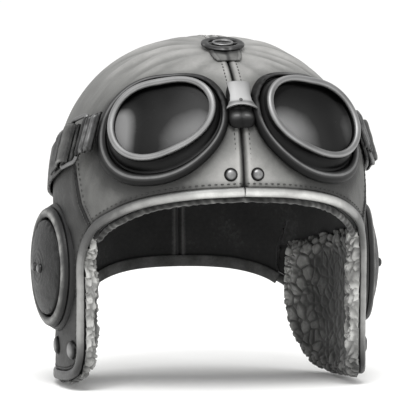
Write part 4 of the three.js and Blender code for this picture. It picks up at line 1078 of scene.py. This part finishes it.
for label, side in sides:
    low = label.lower()
    gridPiece(f"padBase{label}", 150, 22, padBasePlace(side), padLeather, "pad_leather", f"pad_base_{low}",
              outward=sided(Vector((80, 0, -132)), side))
    centre, out = padFrame(side)
    for name, profile, shade, node in (("padRing", padRing, ringShade(side), f"pad_ring_{low}"),
                                       ("padCap", capProfile(), capShade(side), f"pad_cap_{low}")):
        spinPiece(f"{name}{label}", profile, pad["steps"], turnTo(centre, out), shade, padLeather,
                  "pad_leather", node)
    for end, reach in (("Front", -pad["rivetSpread"]), ("Back", pad["rivetSpread"])):
        spot = sided(padPoint(reach, 0, capHeight(pad["rivetSpread"]) - 0.25), side)
        spinPiece(f"padRivet{end}{label}", studProfile(pad["rivetRadius"], pad["rivetHeight"]), 24,
                  turnTo(spot, out), metalShade, blackenedSteel, "dark_metal",
                  f"pad_rivet_{end.lower()}_{low}")
print("ear pads on")


# Bezel section as growth and height from the lens's rim: a rounded face, a step to the glass, a side in
# painted shade
bezelRing = [(0.5, -2.6), (0.45, -1.6), (0.15, -0.75), (-0.45, -0.15), (-1.2, 0.1), (-2.0, 0.1),
             (-2.75, -0.15), (-3.35, -0.65), (-3.65, -1.4), (-3.8, -2.4), (-3.8, -5.6), (-1.4, -5.6),
             (-0.6, -5.4), (0.1, -5.2), (0.3, -4.6), (0.35, -3.6)]


def bezelPlace(side):
    count = len(bezelRing)

    def placeAt(u, k):
        angle = u * 2 * pi
        place = k * count
        first = int(place) % count
        grow, out = (lerp(bezelRing[first][i], bezelRing[(first + 1) % count][i], place % 1) for i in (0, 1))
        inside = smooth(-1.2, -2.2, out) * smooth(-3.2, -3.6, grow)
        outside = smooth(-1.5, -2.6, out) * smooth(-0.6, 0.1, grow)
        point = lensPoint(lensOutline(angle) + grow, angle, out)
        # Painted light and shade: the step to the glass and the outer side dark, painted highlights along the
        # face's edges
        tone = (0.6 - 0.62 * inside - 0.5 * outside + 0.2 * bump(grow, -0.3, 0.6)
                + 0.14 * bump(grow, -2.9, 0.4))
        tone += 0.1 * ripple(point * side, 14, 4)
        return sided(point, side), tone
    return placeAt


def glassPlace(side):
    def placeAt(u, v):
        angle = u * 2 * pi
        radius = (lensOutline(angle) - 2.0) * v
        point = lensPoint(radius, angle, -lens["recess"] + lens["glassBow"] * (1 - v * v))
        x, y = radius * cos(angle), radius * sin(angle)
        # Painted reflection: grey blooms on the outer and inner sides and the bottom, and a painted shadow of
        # the bezel at the top
        outer = (0.85 if side < 0 else 0.3) * smooth(10, 24, x) * smooth(14, -1, y)
        inner = (0.8 if side < 0 else 0.95) * smooth(14, -30, x) * smooth(24, -12, y)
        below = 0.25 * smooth(20, -10, y)
        return (sided(point, side), 0.06 + below + outer + inner
                - 0.4 * smooth(0.74, 0.94, v) * smooth(-0.1, 0.7, sin(angle)))
    return placeAt


# Leather wall of a cup, from the bezel down to the crown: dark, with a thin welt near its foot in painted
# highlight
def cupPlace(side):
    def placeAt(u, v):
        angle = u * 2 * pi
        foot = cup["reach"] * cupRow(angle, 0)
        low = seatedOnCrown(round(foot, 4), round(angle, 6), 0.5)
        share = v / 0.8 if v < 0.8 else 1 - (v - 0.8) / 0.2 * 0.97
        inset = 0 if v < 0.8 else 1.6
        welt = bump(share, 0.8, 0.035)
        swell = 0.7 * sin(min(share / 0.74, 1) * pi) + 0.9 * welt - 0.5 * bump(share, 0.9, 0.05)
        out = lerp(-5.0, low, share)
        radius = lerp(lensOutline(angle) + 0.3, foot, share ** cup["bow"])
        wrinkle = ripple(Vector((angle * 12, share * 9, side * 4)), 1.6, 8)
        point = lensPoint(radius - inset + (swell if inset == 0 else 0), angle, out)
        # Painted light and shade: lighter where the wall bulges and on the welt, darker in the groove below
        # the welt
        tone = (0.12 + 0.2 * bump(share, 0.35, 0.2) + 0.6 * welt + 0.05 * wrinkle
                - 0.12 * bump(share, 0.92, 0.06))
        return sided(point + lensOut * 0.06 * wrinkle, side), tone
    return placeAt


# Padded roll round the cup's foot, crumpled where it is squeezed beside the bridge
def flangePlace(side):
    def placeAt(u, k):
        angle = u * 2 * pi
        section = k * 2 * pi
        width = cup["flangeWidth"] * cupRow(angle, 1)
        height = cup["flangeHeight"] * cupRow(angle, 2)
        across, out = width / 2 * sin(section), height / 2 * cos(section)
        radius = cup["reach"] * cupRow(angle, 0) + 0.3 + width / 2 + across
        foot = seatedOnCrown(round(radius, 3), round(angle, 6), 0.6)
        spot = Vector((angle * 30, section * 3, side * 12))
        wrinkle = 0.12 * ripple(spot, 6, 3) + 0.05 * ripple(spot, 1.8, 7)
        squeeze = bump(abs(((angle - 2.5 + pi) % (2 * pi)) - pi), 0, 0.5)
        crumple = squeeze * (1.1 * (0.5 - abs(ripple(spot, 3.2, 33)) * 1.6))
        lift = (wrinkle + crumple) * smooth(-0.2, 0.7, cos(section))
        point = lensPoint(radius, angle, foot + height / 2 + out + lift)
        turned = (section + pi) % (2 * pi) - pi
        # Painted light and shade: a painted highlight along the roll's top, its outer underside in painted
        # shade
        crest = bump(turned, -0.1, 0.5) * (1 - 0.5 * squeeze)
        tone = 0.26 + 0.66 * crest + 0.1 * wrinkle + 0.16 * crumple - 0.24 * smooth(0.5, 1.3, abs(turned))
        return sided(point, side), tone
    return placeAt


for label, side in sides:
    low = label.lower()
    gridPiece(f"bezel{label}", lens["steps"], len(bezelRing) * 4, bezelPlace(side), nickelPlate,
              "bright_metal", f"goggle_bezel_{low}", closed=True)
    gridPiece(f"glass{label}", lens["steps"], 24, glassPlace(side), smokedGlass, "lens_glass",
              f"goggle_lens_{low}", solid=lens["glassWall"],
              outward=sided(lensPoint(0, 0, -30), side))
    gridPiece(f"cupWall{label}", lens["steps"], 60, cupPlace(side), gogglePadding, "goggle_rubber",
              f"goggle_cup_{low}", outward=sided(lensPoint(0, 0, -14), side))
    piece = gridPiece(f"paddedFlange{label}", 220, 22, flangePlace(side), gogglePadding, "goggle_rubber",
                      f"goggle_flange_{low}", closed=True)

# Nose roll and the plate that clasps it
bridge = {"topDrop": 29.5, "footDrop": 42, "halfWidth": 9, "wall": 1.5, "padTop": 28, "padFoot": 52,
          "padHalf": 8.5, "screwRadius": 1.1, "screwHeight": 0.8, "screwLift": 8.0, "screwAt": 0.75,
          "soften": 0.4}
bridgeShape = [(0, 0.76), (0.25, 0.7), (0.5, 0.66), (0.72, 0.7), (0.86, 0.84), (1, 1)]


def nosePlace(u, k):
    drop = lerp(bridge["padTop"], bridge["padFoot"], u)
    section = k * 2 * pi
    ends = sqrt(max(1 - abs(2 * u - 1) ** 4, 0))
    half = bridge["padHalf"] * (0.86 + 0.14 * smooth(0.5, 0.95, u)) * (0.4 + 0.6 * ends)
    x = half * squared(sin(section), 0.75)
    over = smooth(0, 0.5, cos(section))
    roll = 0.9 * bump(u, 0.8, 0.16)
    lift = 3.1 + (2.6 + roll) * ends * (1 if cos(section) > 0 else -0.9) * abs(cos(section)) ** 0.8
    wrinkle = 0.12 * ripple(Vector((x, drop, section * 2)), 3.5, 3)
    lift += (wrinkle - 0.35 * bump(x, 0, 0.55)) * over - 0.5 * bump(u, 0.6, 0.05) * over
    point = overCrown(x, shellPoint(0, levelAt(drop)).y, lift)
    # Painted light and shade: a highlight band low on the roll, its sides and creases in painted shade
    aside = smooth(0.5, 1, abs(x) / half)
    tone = 0.36 + 0.5 * over * bump(u, 0.76, 0.07) * (1 - 0.7 * aside) - 0.2 * aside
    return point, tone - 0.2 * bump(x, 0, 0.5) - 0.2 * bump(u, 0.6, 0.06) - 0.2 * smooth(0.86, 0.98, u)


piece = gridPiece("noseRoll", 60, 36, nosePlace, gogglePadding, "goggle_rubber", "nose_pad", closed=True)


def bridgeHalf(share):
    for (fromShare, fromHalf), (toShare, toHalf) in zip(bridgeShape, bridgeShape[1:]):
        if share <= toShare:
            return bridge["halfWidth"] * lerp(fromHalf, toHalf,
                                              smooth(0, 1, (share - fromShare) / (toShare - fromShare)))
    return bridge["halfWidth"]


def platePlace(u, v):
    x = lerp(-1, 1, u) * bridgeHalf(v)
    side = abs(x) / bridge["halfWidth"]
    drop = lerp(bridge["topDrop"], bridge["footDrop"], v) + 1.8 * (side ** 2 - 0.4) * v ** 3
    lift = (0.5 + 5.25 + 0.6 + 1.2 * (1 - side * side) * (1 - v) + bridge["wall"] + 0.7 * bump(v, 1, 0.12)
            - 0.8 * side ** 3 * (1 - v))
    point = overCrown(x, shellPoint(0, levelAt(drop)).y, lift)
    # Painted shade: darker towards the sides and in a line above the lip
    return point, 0.78 - 0.24 * bump(v, 0.84, 0.05) - 0.26 * smooth(0.3, 1, side) + 0.05 * ripple(point, 8, 2)


plate = gridPiece("bridgePlate", 36, 32, platePlace, nickelPlate, "bright_metal", "bridge_plate",
                  solid=bridge["wall"], outward=domeMiddle)
softened = plate.modifiers.new("softened", "BEVEL")
softened.width, softened.segments, softened.limit_method = bridge["soften"] * mm, 3, "ANGLE"

screwDrop = lerp(bridge["topDrop"], bridge["footDrop"], bridge["screwAt"])
screwPoint, _, _, screwOut = shellFrame(0, levelAt(screwDrop))
spinPiece("bridgeScrew", studProfile(bridge["screwRadius"], bridge["screwHeight"]), 20,
          turnTo(screwPoint + screwOut * bridge["screwLift"], screwOut), lambda r, h, a: (0.35, 0),
          nickelPlate, "bright_metal", "bridge_screw")
print("goggles built")

# Strap: harness leather round the back, folded over a wire loop and clasped by a ribbed bracket on each side
foldLiftMm = strap["lift"] + strap["wall"] + 0.45
loopLiftMm = foldLiftMm + 1.1


def overStrap(turnDegrees, across, lift):
    turn = radians(turnDegrees)
    around = pi - abs(pi - turn)
    point, along, down, out = shellFrame(around, levelAt(strapDrop(around)))
    return sided(point + out * lift + down * across, -1 if turn > pi else 1)


def strapPlace(u, v):
    turn = lerp(strap["startTurn"], 360 - strap["startTurn"], u)
    side = 2 * v - 1
    length = u * strap["run"]
    fray = 0.25 * ripple(Vector((length, side * 3, 0)), 5, 4) * smooth(0.85, 1, abs(side))
    bow = 0.5 * (1 - side * side) + 0.28 * ripple(Vector((length * 0.8, side * 12, 3)), 9, 2)
    crack = 0.16 * (1 - min(abs(ripple(Vector((length * 1.6, side * 7, 9)), 4.4, 6)) * 4, 1))
    point = overStrap(turn, side * (strap["width"] / 2 + fray),
                      strap["lift"] + strap["wall"] - 0.45 + bow - crack)
    tone = (0.46 + 0.22 * ripple(Vector((length, side * 12, 0)), 11, 7) - 1.2 * crack
            + 0.2 * bump(abs(side), 0.96, 0.05))
    return point, tone - 0.25 * bump(abs(side), 0.8, 0.04)


gridPiece("strapBand", 420, 24, strapPlace, strapLeather, "strap_webbing", "goggle_strap",
          solid=strap["bandWall"], outward=domeMiddle)

# Side view of a fold: degrees from the loop's back bar and height over the strap
foldRows = [(-2.4, 0.3), (-2.35, 2.4), (-1.9, 4.1), (-0.9, 5.0), (0.9, 5.1), (2.2, 4.3), (3.6, 3.2),
            (6.5, 2.6), (10.5, 2.3), (13.4, 1.9), (14.0, 1.0), (14.0, 0.1)]


def foldPlace(side):
    def placeAt(u, v):
        step, height = rowAt(foldRows, u)
        across = 2 * v - 1
        lump = 0.35 * ripple(Vector((step * 2, across * 12, side * 9)), 4.5, 5)
        keeper = (smooth(3.4, 3.9, step) * (1 - smooth(10.2, 10.8, step))
                  * (1 - smooth(0.74, 0.8, abs(across))))
        seam = (bump(abs(across), 0.66, 0.03) * keeper
                + keeper * (bump(step, 4.6, 0.22) + bump(step, 9.6, 0.22)) * (abs(across) < 0.66))
        edgeDip = 0.5 * smooth(0.86, 1, abs(across))
        lift = foldLiftMm + max(height + (lump + 0.9 * keeper - edgeDip - 0.3 * seam) * min(height, 1), 0)
        point = overStrap(strap["loopBack"] + step, across * (strap["width"] - 0.6) / 2, lift)
        tone = (0.46 + 0.34 * lump - 0.14 * keeper - 0.3 * seam + 0.2 * bump(height, 5.1, 0.9)
                + 0.16 * bump(abs(across), 0.9, 0.06))
        return sided(point, side), tone
    return placeAt


def alongLoop(length, straight, high):  # a rounded box run, by length: place and the way out of it
    corner = strap["loopCorner"]
    runs = [(2 * (straight - corner), (-straight + corner, -high), (1, 0)),
            (corner * pi / 2, (straight - corner, -high + corner), -90),
            (2 * (high - corner), (straight, -high + corner), (0, 1)),
            (corner * pi / 2, (straight - corner, high - corner), 0),
            (2 * (straight - corner), (straight - corner, high), (-1, 0)),
            (corner * pi / 2, (-straight + corner, high - corner), 90),
            (2 * (high - corner), (-straight, high - corner), (0, -1)),
            (corner * pi / 2, (-straight + corner, -high + corner), 180)]
    rest = length * sum(run[0] for run in runs)
    for size, (x, y), way in runs:
        if rest <= size:
            break
        rest -= size
    if isinstance(way, tuple):
        return x + way[0] * rest, y + way[1] * rest, way[1], -way[0]
    angle = radians(way) + min(rest / corner, pi / 2)
    return x + corner * cos(angle), y + corner * sin(angle), cos(angle), sin(angle)


def loopPlace(side):
    high = strap["loopHeight"] / 2 - strap["wire"] / 2
    middle = (strap["loopFront"] + strap["loopBack"]) / 2
    straight = (strap["loopBack"] - strap["loopFront"]) / 2 * radians(1) * shell["halfWidth"]

    def placeAt(u, k):
        x, y, outX, outY = alongLoop(u % 1, straight, high)
        section = k * 2 * pi
        offset = strap["wire"] / 2 * sin(section)
        turn = middle + (x + outX * offset) / (radians(1) * shell["halfWidth"])
        point = overStrap(turn, y + outY * offset, loopLiftMm + strap["wire"] / 2 * cos(section))
        # Painted shade on the wire's underside
        return (sided(point, side), 0.6 + 0.12 * ripple(point * side, 5, 3)
                - 0.2 * smooth(0.3, -0.8, cos(section)))
    return placeAt


# Side view of a bracket: share of the way to the loop's bar, height over the leather, share of a rib
bracketRows = [(0.0, 6.2, 0), (0.0, 7.2, 0), (0.04, 8.2, 0.6), (0.12, 8.2, 0.6), (0.17, 7.2, 0),
               (0.22, 7.1, 0), (0.29, 8.3, 1), (0.37, 8.7, 1), (0.46, 8.4, 1), (0.52, 7.1, 0),
               (0.57, 7.0, 0), (0.64, 8.2, 1), (0.73, 8.6, 1), (0.82, 8.2, 1), (0.87, 7.2, 0),
               (0.93, 7.4, 0), (1.0, 8.0, 0.5), (1.07, 8.0, 0.4), (1.1, 7.2, 0), (1.11, 6.4, 0)]


def bracketPlace(side):
    front, bar = strap["bracketFront"], strap["loopFront"] - strap["hook"]

    def placeAt(u, v):
        along, lift, rib = rowAt(bracketRows, u)
        across = 2 * v - 1
        end = smooth(0.84, 1, abs(across))
        point = overStrap(lerp(front, bar, along), across * (strap["width"] - 0.8) / 2 * (1 - 0.02 * rib),
                          lift - 0.8 * end * rib - 0.5 * end)
        # Painted highlight on the ribs and painted shade on the curled ends
        tone = 0.24 + 0.34 * rib + 0.14 * ripple(point * side, 4, 3) - 0.12 * end
        return sided(point, side), tone
    return placeAt


for label, side in sides:
    low = label.lower()
    gridPiece(f"strapFold{label}", 96, 26, foldPlace(side), strapLeather, "strap_webbing",
              f"strap_fold_{low}", solid=strap["foldWall"], outward=domeMiddle)
    gridPiece(f"wireLoop{label}", 200, 14, loopPlace(side), nickelPlate, "bright_metal",
              f"strap_loop_{low}", closed=True)
    gridPiece(f"ribbedBracket{label}", 152, 24, bracketPlace(side), blackenedSteel, "dark_metal",
              f"strap_bracket_{low}", solid=strap["bracketWall"], outward=domeMiddle)
print("strap buckled")

# Tab and plain oval buckle on top of the crown: a flat band, a small inner ring and the bar over the tab
tab = {"centre": 42, "length": 34, "width": 20, "wall": 1.2, "madeWall": 1.1, "lift": 0.6}
buckle = {"centre": 41, "width": 26, "length": 21, "band": 4.4, "thick": 2.0, "inner": 0.44, "wire": 1.7,
          "bar": 1.7, "lift": 3.2}


def tabPlace(u, v):
    across, ahead = 2 * u - 1, 2 * v - 1
    half = tab["width"] / 2 * (1 - 0.22 * ahead ** 2) * (1 - 0.1 * smooth(0.8, 1, abs(ahead)))
    x, y = across * half, -ahead * tab["length"] / 2 - tab["centre"]
    crease = 0.35 * ripple(Vector((x, y, 0)), 4, 3) + 0.25 * bump(abs(across), 0.8, 0.1)
    lift = tab["lift"] + tab["wall"] + crease + 0.5 - 0.6 * smooth(0.85, 1, max(abs(across), abs(ahead)))
    shade = bump(hypot(x, (y + buckle["centre"]) * 1.25), 13.6, 2.4)
    tone = 0.52 + 0.3 * crease - 0.3 * shade - 0.3 * bump(x, 0, 1.1) - 0.12 * bump(abs(across), 0.72, 0.06)
    return overCrown(x, y, lift), tone


gridPiece("crownTab", 40, 60, tabPlace, crownLeather, "crown_leather", "crown_tab",
          solid=tab["madeWall"], outward=domeMiddle)


def bandPlace(u, k):
    angle, section = u * 2 * pi, k * 2 * pi
    across = buckle["band"] / 2 * squared(sin(section), 0.7)
    out = buckle["thick"] / 2 * squared(cos(section), 0.7)
    x = (buckle["width"] / 2 - buckle["band"] / 2 + across) * cos(angle)
    y = (buckle["length"] / 2 - buckle["band"] / 2 + across) * sin(angle)
    point = overCrown(x, y - buckle["centre"], buckle["lift"] + out + 0.1 * ripple(Vector((x, y, 0)), 3, 2))
    # Painted highlight along the top of the band and on its edges
    rim = bump(abs(across), buckle["band"] / 2 - 0.4, 0.5)
    return point, 0.28 + 0.14 * smooth(0.3, 1, cos(section)) + 0.14 * rim + 0.24 * ripple(point, 3, 5)


def innerRingPlace(u, k):
    angle, section = u * 2 * pi, k * 2 * pi
    across, out = buckle["wire"] / 2 * sin(section), buckle["wire"] / 2 * cos(section)
    x = (buckle["width"] / 2 * buckle["inner"] + across) * cos(angle)
    y = (buckle["length"] / 2 * buckle["inner"] * 0.8 + across) * sin(angle)
    # Painted highlight along the top of the wire and painted shade under it
    return overCrown(x, y - buckle["centre"], buckle["lift"] + 0.3 + out), 0.52 + 0.2 * cos(section)


def buckleBarPlace(u, k):
    section = k * 2 * pi
    half = buckle["bar"] / 2
    x = lerp(-1, 1, u) * (buckle["width"] - buckle["band"]) / 2
    return overCrown(x, half * sin(section) - buckle["centre"], buckle["lift"] + half * cos(section)), 0.5


bm = bmesh.new()
gridInto(bm, 96, 18, bandPlace)
gridInto(bm, 60, 12, innerRingPlace)
gridInto(bm, 16, 12, buckleBarPlace)
finishMesh("crownBuckle", bm, blackenedSteel, "dark_metal", "crown_buckle", closed=True)

# Rivets of the brow and snaps of the flaps
studs = {"browSpread": 8.1, "browDrop": 78, "browRadius": 4, "browHeight": 2.6, "snapRadius": 6,
         "snapHeight": 2.9, "snapDrop": 188, "frontTurn": 71.5, "backTurn": 92, "lip": 0.35}


def addStud(name, node, turn, drop, radius, height, side):
    point, along, down, out = shellFrame(turn, levelAt(drop))
    lift = 0.5 * leatherWave(sided(point, side)) - 0.1
    profile = [(0, 0), (radius, 0), (radius * 1.02, studs["lip"])]
    profile += [(radius * 0.93 * r, studs["lip"] + (height - studs["lip"]) * h) for r, h in rivetRows]

    # Painted highlight over the top of the dome and painted shade round its rim
    def shadeAt(reach, up, angle):
        return 0.34 + 0.36 * smooth(0.4, 1, up / height) - 0.34 * bump(reach, radius * 0.98, 0.6), 0
    spinPiece(name, profile, 40, turnTo(sided(point + out * lift, side), sided(out, side)), shadeAt,
              blackenedSteel, "dark_metal", node)


for label, side in sides:
    low = label.lower()
    browTurn = atan2(studs["browSpread"], -shellPoint(0, levelAt(studs["browDrop"])).y)
    addStud(f"browRivet{label}", f"brow_rivet_{low}", browTurn, studs["browDrop"], studs["browRadius"],
            studs["browHeight"], side)
    for end, turn in (("Front", studs["frontTurn"]), ("Back", studs["backTurn"])):
        addStud(f"flapSnap{end}{label}", f"flap_snap_{end.lower()}_{low}", radians(turn), studs["snapDrop"],
                studs["snapRadius"], studs["snapHeight"], side)
print("buckle and rivets set")


# Studio: pale floor, a soft key from above in front, a fill on each side and a white surround
studio = {"floorGap": 0.3, "target": (-0.9, -9.1, -100.6), "from": (-0.2039, -0.9761, 0.0750),
          "distance": 3000, "lensMm": 421.2, "keyWatts": 22, "fillWatts": 2, "world": 1.08}
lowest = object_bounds()[0][2]

floorMaterial, floorTree, floorShader, floorPlace, _ = newMaterial("paleStudioPaper", {
    "Roughness": 0.9, "Specular IOR Level": 0.1})
paper = addNode(floorTree, "ShaderNodeTexNoise", {"Scale": 40.0, "Detail": 2.0},
                {"Vector": floorPlace}).outputs["Fac"]
paint(floorTree, floorShader, paper, [], [(0.3, "#fafaf9"), (0.7, "#fcfcfb")])
bm = bmesh.new()
bmesh.ops.create_grid(bm, x_segments=2, y_segments=2, size=14)
floorMesh = bpy.data.meshes.new("studioFloor")
bm.to_mesh(floorMesh)
bm.free()
studioFloor = bpy.data.objects.new("studioFloor", floorMesh)
bpy.context.scene.collection.objects.link(studioFloor)
studioFloor.location.z = lowest - studio["floorGap"] * mm
floorMesh.materials.append(floorMaterial)

world = bpy.data.worlds.new("whiteSurround")
bpy.context.scene.world = world
world.use_nodes = True
world.node_tree.nodes["Background"].inputs["Color"].default_value = (1, 1, 1, 1)
world.node_tree.nodes["Background"].inputs["Strength"].default_value = studio["world"]


def softLight(name, place, aim, watts, width, height):
    lamp = bpy.data.lights.new(name, "AREA")
    lamp.shape, lamp.size, lamp.size_y, lamp.energy = "RECTANGLE", width, height, watts
    holder = bpy.data.objects.new(name, lamp)
    bpy.context.scene.collection.objects.link(holder)
    holder.location = place
    holder.rotation_euler = (Vector(aim) - Vector(place)).to_track_quat("-Z", "Y").to_euler()
    return holder


softLight("keyAboveFront", (-0.25, -1.0, 1.15), (0, 0, -0.08), studio["keyWatts"], 0.9, 0.6)
softLight("fillLeft", (-1.5, -0.8, 0.1), (0, 0, -0.1), studio["fillWatts"], 0.6, 1.2)
softLight("fillRight", (1.4, -0.9, 0.15), (0, 0, -0.1), studio["fillWatts"], 0.6, 1.2)

cameraData = bpy.data.cameras.new("photoCamera")
cameraData.lens, cameraData.sensor_width = studio["lensMm"], 36
cameraData.clip_start, cameraData.clip_end = 0.1, 30
camera = bpy.data.objects.new("photoCamera", cameraData)
bpy.context.scene.collection.objects.link(camera)
target = Vector(studio["target"]) * mm
camera.location = target + Vector(studio["from"]).normalized() * studio["distance"] * mm
camera.rotation_euler = (target - camera.location).to_track_quat("-Z", "Y").to_euler()
bpy.context.scene.camera = camera
bpy.context.scene.view_settings.view_transform = "Standard"
print("studio lit")
